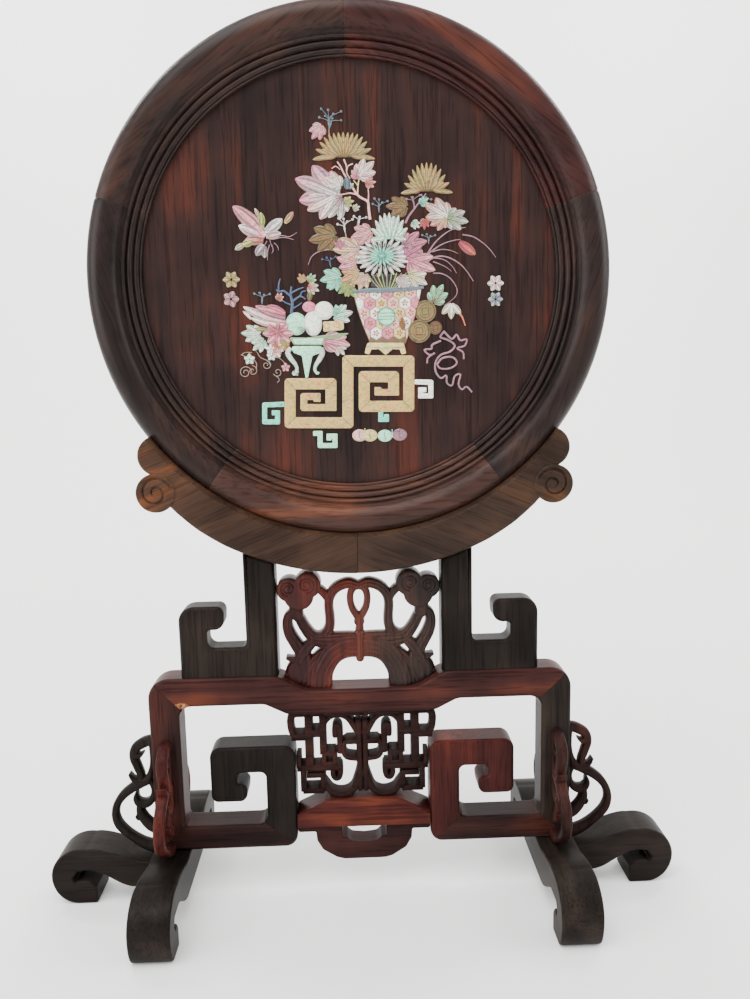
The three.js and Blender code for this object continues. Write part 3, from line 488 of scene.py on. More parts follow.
# %% Ring pieces
FELLOES = ["upper_right", "lower_right", "bottom", "lower_left", "upper_left"]
FELLOE_TONES = ["red", "dark", "orange", "dark", "dark"]
FELLOE_TURN = 360 / len(FELLOES)
joint = np.degrees(JOINT_GAP / SIGHT_R)
for index, (where, tone) in enumerate(zip(FELLOES, FELLOE_TONES)):
    start, end = FELLOE_TURN * index + joint, FELLOE_TURN * (index + 1) - joint
    felloe = swept(carried_round(ring_section(), start, end), ease=0.5)
    material = cut_from(tone, "x", tilt=-(start + end) / 2, gloss=0.3, level=0.10)
    piece(f"ring_{where}_turned", felloe, material, f"ring_{where}", sharp=40)
print("ring pieces:", len(FELLOES), "with", len(ring_section()), "points in the section")

# %% [markdown]
# ## The board
# The board is a plain disc held in the ring's groove. The frame's own disc already has the right shape, so it
# stays and only gets its wood: a dark red-brown plank with the grain upright.

# %% Board
board = bpy.data.objects["board"]
board_wood = wood("board_wood", (0.0130, 0.0080, 0.0074), (0.0265, 0.0130, 0.0112), (0.064, 0.0180, 0.0115),
                  turn=LENGTHWAYS["z"], offset=(0.4, 0.2, 0.1), gloss=0.3, level=0.10)
board.data.materials.clear()
board.data.materials.append(board_wood)
print("board across:", round(float(ring_high[0] - ring_low[0]), 1), "mm")

# %% [markdown]
# ## The cradle
# Two crescents of wood meet under the ring. Their section is a block with a hollow that fits the ring's half
# round and a narrow bevel along each lip. Each ends in a round lobe over a small volute. The crescent is the
# hollowed section carried round the centre, and its depth below the lip changes with the angle, so one grid
# makes both the even part and the lobe. The volute is a round button with a spiral groove sunk in its face.

# %% Crescents
CRADLE_R = 228.0
CRADLE_HALF = 18.0
CRADLE_REACH = 53.5
LOBE_R = 15.5
LOBE_TURN = 49.1
LOBE_EYE_R = 201.0
VOLUTE_R = 15.2
VOLUTE_TURN = 44.0
VOLUTE_EYE_R = 222.5
VOLUTE_PROUD = 1.2


def crescent_edge(turn):
    """Outer radius at each angle from straight down: the even underside, then the circle of the round lobe."""
    even = np.interp(turn, [0, 27, 33, 38.6, 45.2, 46.6, CRADLE_REACH],
                     [CRADLE_R, CRADLE_R, 227, 224.8, 221, 206, 198])
    off = np.radians(turn - LOBE_TURN)
    chord = np.sqrt(np.clip(LOBE_R ** 2 - (LOBE_EYE_R * np.sin(off)) ** 2, 0, None))
    return np.maximum(even, np.where(chord > 0, LOBE_EYE_R * np.cos(off) + chord, 0))


def crescent_section(outer):
    """Section points (radius, depth) for each outer radius: hollow seat, lip bevel, face, rounded underside."""
    seat_turn = np.radians(np.linspace(45, -45, 19))
    across = MOULDING_HALF + FIT
    seat_r = RING_R - MOULDING_HALF + across * np.cos(seat_turn)
    seat_y = (RING_HALF_DEPTH + FIT) * np.sin(seat_turn)
    lip = float(seat_r[-1])
    edge = 3.0
    turn = np.radians(np.linspace(0, 90, 7))
    corner_r = -edge + edge * np.sin(turn)
    corner_y = -CRADLE_HALF + edge - edge * np.cos(turn)
    fixed_r = np.concatenate([seat_r, [lip + 0.4, lip + 3.0]])
    fixed_y = np.concatenate([seat_y, [-CRADLE_HALF + 3.2, -CRADLE_HALF]])
    outer = np.maximum(outer, lip + 3.2 + edge)[:, None]
    under_r = np.concatenate([corner_r, corner_r[::-1]])[None] + outer
    under_y = np.concatenate([corner_y, -corner_y[::-1]])
    back_r, back_y = [lip + 3.0, lip + 0.4], [CRADLE_HALF, CRADLE_HALF - 3.2]
    rows = len(outer)
    r = np.concatenate([np.tile(fixed_r, (rows, 1)), under_r, np.tile(back_r, (rows, 1))], axis=1)
    y = np.tile(np.concatenate([fixed_y, under_y, back_y]), (rows, 1))
    return r, y


def crescent():
    """The right crescent: x = r sin a, z = centre - r cos a, from the seam to the tip."""
    seam = np.degrees(JOINT_GAP / RING_R)
    turn = np.concatenate([[seam, seam + 0.1], np.linspace(0.6, 40, 60), np.linspace(40.3, CRADLE_REACH, 60)])
    r, y = crescent_section(crescent_edge(turn))
    angle = np.radians(turn)[:, None]
    return swept(np.stack([r * np.sin(angle), y, RING_Z - r * np.cos(angle)], axis=-1), ease=0.5)


def volute_button(turns=1.6, groove=1.6, edge=1.6):
    """A round button whose face sinks along a spiral: groove x exp(-(distance to the spiral / 0.9)^2)."""
    eye_x = VOLUTE_EYE_R * sin(radians(VOLUTE_TURN))
    eye_z = RING_Z - VOLUTE_EYE_R * cos(radians(VOLUTE_TURN))
    half = CRADLE_HALF + VOLUTE_PROUD
    rim_r = VOLUTE_R - edge * (1 - np.sin(np.linspace(0.2, pi / 2, 6)))
    r = np.concatenate([np.linspace(0.05, VOLUTE_R - edge, 40), rim_r])
    angle = np.linspace(0, 2 * pi, 96, endpoint=False)
    radius, around = np.meshgrid(r, angle, indexing="ij")
    pitch = (VOLUTE_R - 4.2) / turns
    spiral_r = VOLUTE_R - 2.6 - pitch * ((radians(160) - around) % (2 * pi)) / (2 * pi)
    away = np.min([np.abs(radius - spiral_r + pitch * k) for k in range(2)], axis=0)
    sunk = groove * np.exp(-(away / 0.9) ** 2) * (radius > 2.2)
    round_off = np.clip((radius - (VOLUTE_R - edge)) / edge, 0, 1)
    eased = edge * (1 - np.sqrt(np.clip(1 - round_off ** 2, 0, 1)))
    y = -(half - sunk - eased)
    front = np.stack([eye_x + radius * np.cos(around), y, eye_z + radius * np.sin(around)], axis=-1)
    back = front[::-1] * [1, -1, 1]
    return swept(np.concatenate([front, back]))


for side, flip in (("right", False), ("left", True)):
    half = together([crescent(), volute_button()])
    half = mirror(half) if flip else half
    material = cut_from("amber" if flip else "umber", "x", tilt=22 if flip else -22, gloss=0.32, level=0.08)
    piece(f"cradle_{side}_carved", half, material, f"cradle_{side}", sharp=38)
print("crescents reach", CRADLE_REACH, "degrees from the seam")

# %% [markdown]
# ## Sawn pieces with rounded edges
# The gate, the L posts, the square scrolls, the apron and the feet are all sawn from flat stock and then
# rounded by hand along their edges. Each is an outline of corners, where every corner has its own arc, given a
# thickness; a Bevel modifier then rounds the edges. Mitred ends must stay crisp, so each edge carries a bevel
# weight: full along the outside, and a hair's breadth at a joint.

# %% Outlines and plates
def corner_arcs(corners, steps=8):
    """One array of points per (x, z, rounding) corner: an arc of that radius that touches both sides."""
    at = np.array([corner[:2] for corner in corners], dtype=float)
    arcs = []
    for here, before, after, corner in zip(at, np.roll(at, 1, 0), np.roll(at, -1, 0), corners):
        radius = corner[2] if len(corner) > 2 else 0
        if not radius:
            arcs.append(here[None])
            continue
        back = (before - here) / np.linalg.norm(before - here)
        on = (after - here) / np.linalg.norm(after - here)
        half = np.arccos(np.clip(back @ on, -1, 1)) / 2
        first = here + back * radius / np.tan(half)
        middle = back + on
        centre = here + middle / np.linalg.norm(middle) * radius / np.sin(half)
        start = np.arctan2(*(first - centre)[::-1])
        sweep = np.sign(-back[0] * on[1] + back[1] * on[0]) * (pi - 2 * half)
        angle = start + sweep * np.linspace(0, 1, steps + 1)
        arcs.append(centre + radius * np.stack([np.cos(angle), np.sin(angle)], axis=1))
    return arcs


def plate(name, runs, depth, material, node, edge, joint_edge=0.12, place=None):
    """Give an outline a thickness about y = 0. Each run of points is an outside; the runs meet in joints.

    An outside that is closed by a single joint is followed by an empty run.
    """
    outline = np.concatenate(runs)
    count = len(outline)
    weights = np.ones(count)
    if len(runs) > 1:
        weights[np.cumsum([len(run) for run in runs]) - 1] = joint_edge / edge
    flat = np.zeros((count, 3))
    flat[:, [0, 2]] = outline
    points = np.concatenate([flat - [0, depth / 2, 0], flat + [0, depth / 2, 0]])
    index = np.arange(count)
    nxt = (index + 1) % count
    sides = np.stack([index, nxt, nxt + count, index + count], axis=1)
    faces = [index.tolist(), (index[::-1] + count).tolist(), *sides[:, ::-1].tolist()]
    x, z = outline.T
    if np.sum(x * np.roll(z, -1) - np.roll(x, -1) * z) < 0:
        faces = [face[::-1] for face in faces]
    if place is not None:
        points = place(points)
    thing = piece(name, (points, faces), material, node)
    mesh = thing.data
    ends = np.empty(len(mesh.edges) * 2, dtype=int)
    mesh.edges.foreach_get("vertices", ends)
    low, high = np.sort(ends.reshape(-1, 2), axis=1).T
    rim = (low < count) == (high < count)
    step = (high - low) % count
    owner = np.where(step == 1, low % count, high % count)
    attribute = mesh.attributes.new("bevel_weight_edge", "FLOAT", "EDGE")
    attribute.data.foreach_set("value", np.where(rim, weights[owner], 0.0))
    bevel = thing.modifiers.new("rounded edges", "BEVEL")
    bevel.limit_method = "WEIGHT"
    bevel.width = edge * MM
    bevel.segments = 4
    bevel.use_clamp_overlap = False
    bevel.harden_normals = True
    return thing


def both_sides(runs):
    """The outline's mirror image, still run in order."""
    return [run[::-1] * [-1, 1] for run in runs[::-1]]


print("an arc of a rounded corner has", len(corner_arcs([(0, 0, 3), (10, 0, 3), (10, 10, 3)])[0]), "points")

# %% [markdown]
# ## The gate
# One closed outline draws half the gate with its square scroll. Real joiners cut it on the mitres, and the arcs
# of the rounded corners make that easy: each arc has a middle point, and a piece runs from one middle to the
# next. At the upper left mitre a splinter has broken off, which shows as bare lighter wood.

# %% Gate pieces
FOOT_TOP = 42.0
GATE_TOP = 190.5
GATE_HALF = 172.4
POST_WIDTH = 24.4
GATE_DEPTH = 26.0
RAIL_UNDER = 166.5
DIP_TOP = 177.5
SWELL_UNDER = 157.0
BAR_TOP = 62.7
SCROLL_IN, SCROLL_OUT = 55.5, 125.5
SCROLL_TOP = 130.5
HOOK_UNDER = 83.0
gate_inner = GATE_HALF - POST_WIDTH
half_gate = [(0, DIP_TOP), (46, DIP_TOP, 24), (68, GATE_TOP, 24), (GATE_HALF, GATE_TOP, 17), (GATE_HALF, FOOT_TOP),
             (SCROLL_IN, FOOT_TOP, 10), (SCROLL_IN, SCROLL_TOP, 9), (SCROLL_OUT, SCROLL_TOP, 9),
             (SCROLL_OUT, HOOK_UNDER, 6), (96.5, HOOK_UNDER, 6), (95, 98, 5), (104, 98, 3), (104, 108, 4),
             (80, 108, 5), (80, BAR_TOP, 8), (gate_inner, BAR_TOP, 4), (gate_inner, RAIL_UNDER, 10),
             (79, RAIL_UNDER, 14), (60, SWELL_UNDER, 14), (0, SWELL_UNDER)]
arcs = corner_arcs(half_gate)
MITRE = 4


def from_middle(first, last):
    """The outline from the middle of one corner's arc to the middle of another's."""
    start, end = arcs[first], arcs[last]
    head = start[MITRE:] if len(start) > 1 else start
    tail = end[:MITRE + 1] if len(end) > 1 else end
    return np.concatenate([head, *arcs[first + 1:last], tail])


MITRE_CHIP = ((-0.1455, -0.013, 0.1672), (0.0075, 0.012, 0.0042))  # centre and reach, metres
TOP, FOOT, KNEE, KNEE_IN, FOOT_IN, TOP_IN = 3, 4, 5, 14, 15, 16
half_top = np.concatenate([*arcs[1:TOP], arcs[TOP][:MITRE + 1]])
half_under = np.concatenate([arcs[TOP_IN][MITRE:], *arcs[TOP_IN + 1:19]])
rail = [np.concatenate([half_top[::-1] * [-1, 1], half_top]),
        np.concatenate([half_under, half_under[::-1] * [-1, 1]])]
rail_wood = cut_from("red", "x", gloss=0.3, chip=MITRE_CHIP)
plate("gate_rail_rounded", rail, GATE_DEPTH, rail_wood, "gate_rail", edge=3.4)
post = [from_middle(TOP, FOOT), from_middle(FOOT_IN, TOP_IN)]
bar = [from_middle(FOOT, KNEE), from_middle(KNEE_IN, FOOT_IN)]
square = from_middle(KNEE, KNEE_IN)
for side, runs_of, tones in (("right", lambda runs: runs, ("black", "plum", "crimson")),
                             ("left", both_sides, ("plum", "plum", "black"))):
    plate(f"gate_post_{side}_rounded", runs_of(post), GATE_DEPTH, cut_from(tones[0], "z"), f"gate_post_{side}",
          edge=3.4)
    plate(f"bottom_bar_{side}_rounded", runs_of(bar), GATE_DEPTH, cut_from(tones[1], "x"), f"bottom_bar_{side}",
          edge=3.2)
    plate(f"square_scroll_{side}_rounded", [*runs_of([square]), square[:0]], GATE_DEPTH,
          cut_from(tones[2], "z"), f"square_scroll_{side}", edge=3.2)
print("half gate:", sum(len(arc) for arc in arcs), "points")

# %% [markdown]
# ## The L posts
# Each post stands on the rail, reaches up to the crescent and sends a hook outwards and back over itself. Its
# top could be cut with a Boolean against the crescent, but the crescent's underside is a circle, so the outline
# follows the same circle and no cut is needed.

# %% L posts
L_IN, L_OUT, L_WIDTH = 66.3, 145.0, 25.2
L_DEPTH = 22.0


def l_post():
    """The post's outline: its top follows the crescent's underside, a circle about the ring's centre."""
    hook = corner_arcs([(L_IN, GATE_TOP), (L_OUT, GATE_TOP), (L_OUT, 249, 12), (108, 249, 6), (109, 229.4, 8),
                        (122.5, 229.4, 3), (122.5, 214.8, 6), (L_IN + L_WIDTH, 214.8, 4), (L_IN + L_WIDTH, 300)])
    x = np.linspace(L_IN + L_WIDTH, L_IN, 7)
    top = np.stack([x, RING_Z - np.sqrt(CRADLE_R ** 2 - x ** 2)], axis=1)
    return [np.concatenate([*hook[1:8], top[:1]]), np.concatenate([top[1:], hook[0]])]


for side in ("right", "left"):
    runs = l_post() if side == "right" else both_sides(l_post())
    plate(f"l_post_{side}_rounded", runs, L_DEPTH, cut_from("black", "z"), f"l_post_{side}", edge=3.6)
print("L posts reach", round(float(l_post()[0][-1, 1]), 1), "mm up")

# %% [markdown]
# ## The apron
# A rail with sloping ends lies between the square scrolls, and a pierced pendant board hangs under it. Both are
# plates like the gate: the pendant's notch opens to its upper edge, so one outline runs round board and notch.

# %% Apron
APRON_TOP, APRON_UNDER = 81.0, 58.5
PENDANT_TOP = APRON_UNDER - 0.2
apron_half = SCROLL_IN - 0.2
ends = corner_arcs([(apron_half, APRON_UNDER), (apron_half, 69.5), (31, APRON_TOP, 16), (-31, APRON_TOP, 16),
                    (-apron_half, 69.5), (-apron_half, APRON_UNDER)])
plate("apron_rail_rounded", [ends[0], np.concatenate(ends[1:5]), ends[5]], GATE_DEPTH,
      cut_from("brick", "x"), "apron_rail", edge=3.0)

pendant_corners = [(apron_half, PENDANT_TOP), (apron_half, 52.2, 2), (40.4, 52.2, 1.5), (39.8, 44.3, 6),
                   (35, 35.8, 6),
                   (23.5, 28.6, 5), (17, 26.8, 8), (-17, 26.8, 8), (-23.5, 28.6, 5), (-35, 35.8, 6),
                   (-39.8, 44.3, 6), (-40.4, 52.2, 1.5), (-apron_half, 52.2, 2), (-apron_half, PENDANT_TOP),
                   (-18.5, PENDANT_TOP), (-18.5, 46.6, 1.2), (-14.4, 46.2, 1.2), (-10.6, 42.6, 5), (0, 41.4, 8),
                   (10.6, 42.6, 5), (14.4, 46.2, 1.2), (18.5, 46.6, 1.2), (18.5, PENDANT_TOP)]
pendant = np.concatenate(corner_arcs(pendant_corners, 6))
plate("apron_pendant_rounded", [pendant], 18.0, cut_from("red", "x"), "apron_pendant", edge=1.1)
print("pendant:", len(pendant), "points")

# %% [markdown]
# ## The feet
# A foot swells into a roll at each end that tucks back under itself. The outline is the same for feet and arms,
# each with its own sizes: a smooth rise to the crest, an ellipse round the roll, a flat sole, the little hollow
# where the roll turns in, and a smooth fall back to the block.

# %% Feet and arms
FOOT_WIDTH = 32.0
CREST = 47.8
POST_X = GATE_HALF - POST_WIDTH / 2
ARM_ROOT = POST_X + FOOT_WIDTH / 2


def ease(t):
    """A smooth step: half a cosine wave from 0 to 1."""
    return (1 - np.cos(pi * np.clip(t, 0, 1))) / 2


def rolled_end(reach, across, sole, blunt, hollow_end, root_top, hollow):
    """Outline of a rolled end, s out from the block and z up, from the top of the block round to its underside."""
    centre = reach - across
    crest_at, half = centre - 5, CREST / 2
    t = np.linspace(0, 1, 25)[:-1]
    rise = np.stack([crest_at * t, hollow + (root_top - hollow) * (1 - ease(3 * t)) + (CREST - hollow) * ease(t)], 1)
    upper = np.radians(np.linspace(100, 2, 24))
    lower = np.radians(np.linspace(0, -90, 22))
    roll = np.concatenate([
        np.stack([centre + across * np.cos(upper), half + half * np.sin(upper)], 1),
        np.stack([centre + sole + (across - sole) * np.cos(lower), half + half * np.sin(lower)], 1)])
    inward = (hollow_end - blunt) / 19
    lip = [(blunt, 0, 2.2), (blunt, 15, 2.2), (blunt + 5 * inward, 19.5, 4 * inward),
           (blunt + 13 * inward, 20.6, 4 * inward), (hollow_end - 1, 18.6, 1.3 * inward),
           (hollow_end + 0.4, 23, 2 * inward), (blunt + 15 * inward, 28.2, 2 * inward)]
    inner = corner_arcs([tuple(roll[-1]), *lip, (centre - 4, 29.2)], 5)[1:-1]
    s = np.linspace(1, 0, 25)
    fall = np.stack([14 + (centre - 18) * s, 12.9 + (29 - 12.9) * ease(s)], 1)
    return np.concatenate([rise, roll, *inner, fall, [[0, 12.9]]])


arm = rolled_end(83.5, 25.5, 4, 46.5, 65.5, 34.6, 34.6) + [ARM_ROOT + 0.1, 0]
foot_end = rolled_end(81, 27, 16, 53, 64, 41.7, 40.0) + [FOOT_WIDTH / 2, 0]
foot = np.concatenate([foot_end[:-1], (foot_end[:-1] * [-1, 1])[::-1]])


def stands_at(x):
    """Turn a front view to a side view and set it under a post: (x, y, z) becomes (place - y, x, z)."""
    return lambda points: np.stack([x - points[:, 1], points[:, 0], points[:, 2]], axis=1)


for side, sign in (("right", 1), ("left", -1)):
    plate(f"foot_{side}_rounded", [foot], FOOT_WIDTH, cut_from("black", "y", gloss=0.36), f"foot_{side}",
          edge=1.8, place=stands_at(sign * POST_X))
    runs = [arm] if sign > 0 else both_sides([arm])
    plate(f"foot_arm_{side}_rounded", [*runs, runs[0][:0]] if sign > 0 else runs, FOOT_WIDTH,
          cut_from("black", "x", gloss=0.36), f"foot_arm_{side}", edge=2.0)
print("outline of a foot:", len(foot), "points")

# %% [markdown]
# ## Carved strands
# The brackets, the lattice and the panel under the crescent are pierced carving: bands that curl, part and cross.
# Each band is a rounded section carried along a smooth line through a few points, and its width changes on the
# way. A curve object with a bevel would carry one section too, but these sections flatten, widen and are cut
# into cords. Where bands cross, one lies a little in front, as the carver left it.

# %% Strands
def smooth_line(points, per_span=8):
    """A smooth curve through rows of numbers: each span is a cubic of its four nearest rows."""
    rows = np.asarray(points, dtype=float)
    padded = np.concatenate([[2 * rows[0] - rows[1]], rows, [2 * rows[-1] - rows[-2]]])
    t = np.linspace(0, 1, per_span, endpoint=False)[:, None]
    p0, p1, p2, p3 = padded[:-3, None], padded[1:-2, None], padded[2:-1, None], padded[3:, None]
    curve = 0.5 * (2 * p1 + (p2 - p0) * t + (2 * p0 - 5 * p1 + 4 * p2 - p3) * t ** 2
                   + (3 * p1 - p0 - 3 * p2 + p3) * t ** 3)
    return np.concatenate([curve.reshape(-1, rows.shape[1]), rows[-1:]])


BAND_AROUND = 20
GROOVE_DEPTH = 1.1


def band_section(squareness, grooves):
    """A superellipse as (share across, share to the front): cosine and sine of an angle to a power.

    A grooved one has its points at even angles of a circle laid across it, so that every groove gets enough.
    """
    if grooves:
        even = np.cos(np.linspace(0, pi, 6 * grooves + 13))[:-1]
        rise = (1 - np.abs(even) ** (2 / squareness)) ** (squareness / 2)
        return np.concatenate([even, -even]), np.concatenate([rise, -rise])
    angle = np.linspace(0, 2 * pi, BAND_AROUND, endpoint=False)
    return [np.sign(wave) * np.abs(wave) ** squareness for wave in (np.cos(angle), np.sin(angle))]


def band(points, depth, lift=0.0, squareness=0.5, per_span=8, ends=0.8, grooves=0):
    """A rounded band along (x, z, width) rows, moved back by the lift: a superellipse at each of them.

    Grooves cut its front and back into that many cords: the cut is its depth x (1 - |sine across|)^1.2.
    """
    line = smooth_line(points, per_span)
    centre, width = line[:, :2], np.clip(line[:, 2], 0.4, None)
    along = np.gradient(centre, axis=0)
    along /= np.linalg.norm(along, axis=1, keepdims=True)
    side = np.stack([-along[:, 1], along[:, 0]], axis=1)
    cap = np.sin(np.linspace(0.12, pi / 2, 5))[:-1]
    reach = width[[0, -1]] / 2 * ends
    lead = centre[0] - along[0] * (reach[0] * np.sqrt(1 - cap ** 2))[:, None]
    tail = centre[-1] + along[-1] * (reach[1] * np.sqrt(1 - cap[::-1] ** 2))[:, None]
    centre = np.concatenate([lead, centre, tail])
    side = np.concatenate([np.repeat(side[:1], 4, 0), side, np.repeat(side[-1:], 4, 0)])
    shrink = np.concatenate([cap, np.ones(len(line)), cap[::-1]])
    width = np.concatenate([np.repeat(width[:1], 4), width, np.repeat(width[-1:], 4)]) * shrink
    across, front = band_section(squareness, grooves)
    thick = depth / 2 * (0.55 + 0.45 * shrink)
    y = -front[None] * thick[:, None] + lift
    if grooves:
        cord = np.abs(np.sin(pi * grooves * (across + 1) / 2))
        cut = GROOVE_DEPTH * (1 - cord) ** 1.2 * np.clip((np.abs(front) - 0.45) / 0.25, 0, 1)
        y = y + (np.sign(front) * cut)[None] * shrink[:, None] ** 2
    flat = centre[:, None] + side[:, None] * (width[:, None] / 2 * across[None])[..., None]
    return swept(np.stack([flat[..., 0], y, flat[..., 1]], axis=-1))


print("a short band has", len(band([(0, 0, 4), (10, 5, 4), (20, 0, 4)], 8)[0]), "points")

# %% [markdown]
# ## The brackets
# Six pierced brackets steady the posts. All follow one drawing of tendrils, 38.8 mm out from the post and 103 mm
# up from the foot, which is stretched to the height there is over an arm or over a foot. One set of bands is
# worked out for each height and then mirrored or turned, so all six match as a carver's template would make them.

# %% Brackets
BRACKET_DEPTH = 9.0
BRACKET_TOP = 139.0
BRACKET_GRID_HEIGHT = 103.0
ARM_ROOT_TOP, FOOT_ROOT_TOP = 34.6, 40.6
TENDRIL_LIFTS = [0.4, -0.4, 0.0, -0.3, 0.3, 0.2, 0.0]
TENDRILS = [
    [(0.5, 98.5, 7.5), (5, 98, 8.5), (10, 96, 8.5), (15.6, 92, 7.8), (17.2, 85, 7.4), (15, 77, 6.8), (12.6, 70, 6.2),
     (12, 64, 6)],
    [(2, 99, 5), (1.7, 90, 4.2), (2, 80, 4.2), (4, 71, 5.2), (8, 64, 7.5), (14.5, 63.6, 6), (19, 66.5, 3.6),
     (21.4, 70.6, 1.6)],
    [(15.4, 86.6, 5.4), (12.3, 86.2, 4.2), (9.4, 88, 1.8)],
    [(7, 64, 6), (13.5, 61.6, 8), (21, 57.6, 7.8), (28.6, 51.4, 7), (33.8, 43.5, 6.3), (35.4, 35, 6.4),
     (33.2, 27, 7.2),
     (28.2, 20.6, 7.2), (21.5, 14.8, 7.2), (14, 9.6, 8.6), (6, 6.2, 10), (1.5, 6, 9)],
    [(6, 66, 5.4), (2.8, 60, 5), (2.2, 54, 5.2), (4.4, 47.6, 6), (9.4, 44, 7.6), (14.6, 44.6, 7.6), (17.4, 48.4, 5.4),
     (17, 53, 3)],
    [(14.6, 43, 6), (14.4, 36.6, 7.4), (11.4, 30, 8.6), (6.6, 24.6, 9.6), (2, 21.6, 9.4)],
    [(12.6, 33.6, 5), (16.2, 31.4, 3), (18.2, 33.6, 1.4)],
]


def bracket(start, floor):
    """The tendrils, stretched in height from the foot's top to the common top."""
    stretch = (BRACKET_TOP - floor) / BRACKET_GRID_HEIGHT
    return together([band([(start + s, floor + z * stretch, w) for s, z, w in tendril], BRACKET_DEPTH, lift,
                          squareness=0.62) for tendril, lift in zip(TENDRILS, TENDRIL_LIFTS)])


def turned_quarter(shape, x, towards):
    """Turn a shape about the upright axis so that it points to the front (-1) or the back (+1) of a post."""
    points, faces = shape
    turned = np.stack([x - towards * points[:, 1], towards * points[:, 0], points[:, 2]], axis=1)
    return turned, faces


outer = bracket(GATE_HALF, ARM_ROOT_TOP)
standing = bracket(GATE_DEPTH / 2, FOOT_ROOT_TOP)
piece("bracket_outer_right_carved", outer, cut_from("plum", "z"), "bracket_outer_right")
piece("bracket_outer_left_carved", mirror(outer), cut_from("black", "z"), "bracket_outer_left")
for side, x, tone in (("right", POST_X, "plum"), ("left", -POST_X, "crimson")):
    for where, towards in (("front", -1), ("back", 1)):
        piece(f"bracket_{where}_{side}_carved", turned_quarter(standing, x, towards), cut_from(tone, "z"),
              f"bracket_{where}_{side}")
print("bracket points:", len(outer[0]))

# %% [markdown]
# ## The lattice
# Between the square scrolls a lattice of straight bars frames a few curled ones: arches, loops that end in the
# middle bars, hooks, and a rounded wing at each upper corner. Straight bars have square edges, and the curled
# ones are rounder. Only the left or right half is drawn, on a grid of its own that is scaled to the opening.

# %% Lattice
LATTICE_DEPTH = 16.0
LATTICE_GRID = (55.2, 75.7)
LATTICE_THICKER = 1.62
LATTICE_BARS = [
    ((-1, 74.4), (54, 74.4), 3.2), ((43.9, 75), (43.9, 25), 4.2), ((32.3, 75), (32.3, 39), 3.6),
    ((58, 54), (43, 54), 3.4), ((43, 57.2), (31, 57.2), 4.0), ((54, 27), (18, 27), 3.2),
    ((21.8, 39.4), (33, 39.4), 2.4), ((21.8, 30.2), (33, 30.2), 2.4), ((22.9, 29), (22.9, 40), 2.4),
    ((31.9, 29), (31.9, 40), 2.4), ((1, 48.9), (13.6, 48.9), 2.4), ((46.5, 20.6), (31.5, 20.6), 2.6),
    ((49.6, 27), (49.6, 7), 2.8), ((33.2, 21), (33.2, 7), 2.8), ((50, 7.0), (32.5, 7.0), 2.8),
    ((51, 33), (54.6, 33), 7.0),
]
LATTICE_MIDDLE = [(2.4, 7, 5.4), (2.4, 40, 5.2), (2.8, 66, 6.2)]
LATTICE_CURLS = [
    [(50, 74.2, 3.4), (55.4, 73.4, 3.6), (58.4, 69.6, 3.8), (58.6, 63, 3.6), (57.4, 57, 3.2), (54.6, 54, 3)],
    [(31.6, 61, 3), (30.4, 66, 3), (26.4, 70.2, 3), (20.6, 72.2, 3), (14.6, 71, 3), (10.2, 67.4, 3.2),
     (6.6, 62, 3.6), (2.5, 56, 4.6)],
    [(22.3, 54, 3.2), (22.3, 59, 3.2), (21.2, 62.4, 3.4), (19, 61.6, 3.4), (18.3, 57, 3.3), (18.4, 48, 3.3),
     (18.4, 40, 3.3)],
    [(3, 48.9, 2.8), (12.6, 48.7, 3), (15.4, 45, 3), (15.5, 39.6, 3), (12.6, 35.2, 3), (4, 33.6, 3)],
    [(18.8, 27, 3), (18.7, 21, 3), (20, 17.4, 3), (23, 17, 3), (24.8, 20, 3), (24.8, 24, 2.6)],
    [(1.5, 22, 5), (4.6, 14, 4.2), (8.2, 6.6, 3.6), (14, 2.8, 3.4), (20.6, 2.4, 3.4), (26.6, 5, 3.4),
     (30, 9.4, 3.4), (32.6, 13, 3.4)],
]


def lattice():
    """Half the drawing scaled to the opening, and its mirror image, with two bars up the middle."""
    scale_x = (SCROLL_IN - 0.2) / LATTICE_GRID[0]
    scale_z = (SWELL_UNDER - APRON_TOP) / LATTICE_GRID[1]
    parts = []
    for start, end, width in LATTICE_BARS:
        row = [(x * scale_x, APRON_TOP + z * scale_z, width * LATTICE_THICKER) for x, z in (start, end)]
        parts.append(band(row, LATTICE_DEPTH, squareness=0.14, per_span=2, ends=0.04))
    for curl in LATTICE_CURLS:
        row = [(x * scale_x, APRON_TOP + z * scale_z, width * LATTICE_THICKER) for x, z, width in curl]
        parts.append(band(row, LATTICE_DEPTH - 0.6, squareness=0.5))
    half = together(parts)
    middle = [band([(sign * x, APRON_TOP + z, width) for x, z, width in LATTICE_MIDDLE], LATTICE_DEPTH,
                   squareness=0.6) for sign in (-1, 1)]
    return together([half, mirror(half), *middle])


piece("lattice_carved", lattice(), cut_from("plum", "x", gloss=0.55, level=0.03), "lattice_panel")
print("lattice:", len(LATTICE_BARS), "bars and", len(LATTICE_CURLS), "curls in each half")

# %% [markdown]
# ## The carved panel
# Under the crescent two lucky-cloud heads look inwards over a double arch, with loops at the sides and a sash
# tied in the middle. The sash and the loops carry fine grooves like the folds of cloth. The left half is
# crimson and the right half dark, so the wood fades from one tone to the other across the middle. It could be
# sculpted by hand; strands keep every width and crossing as numbers that can be changed.

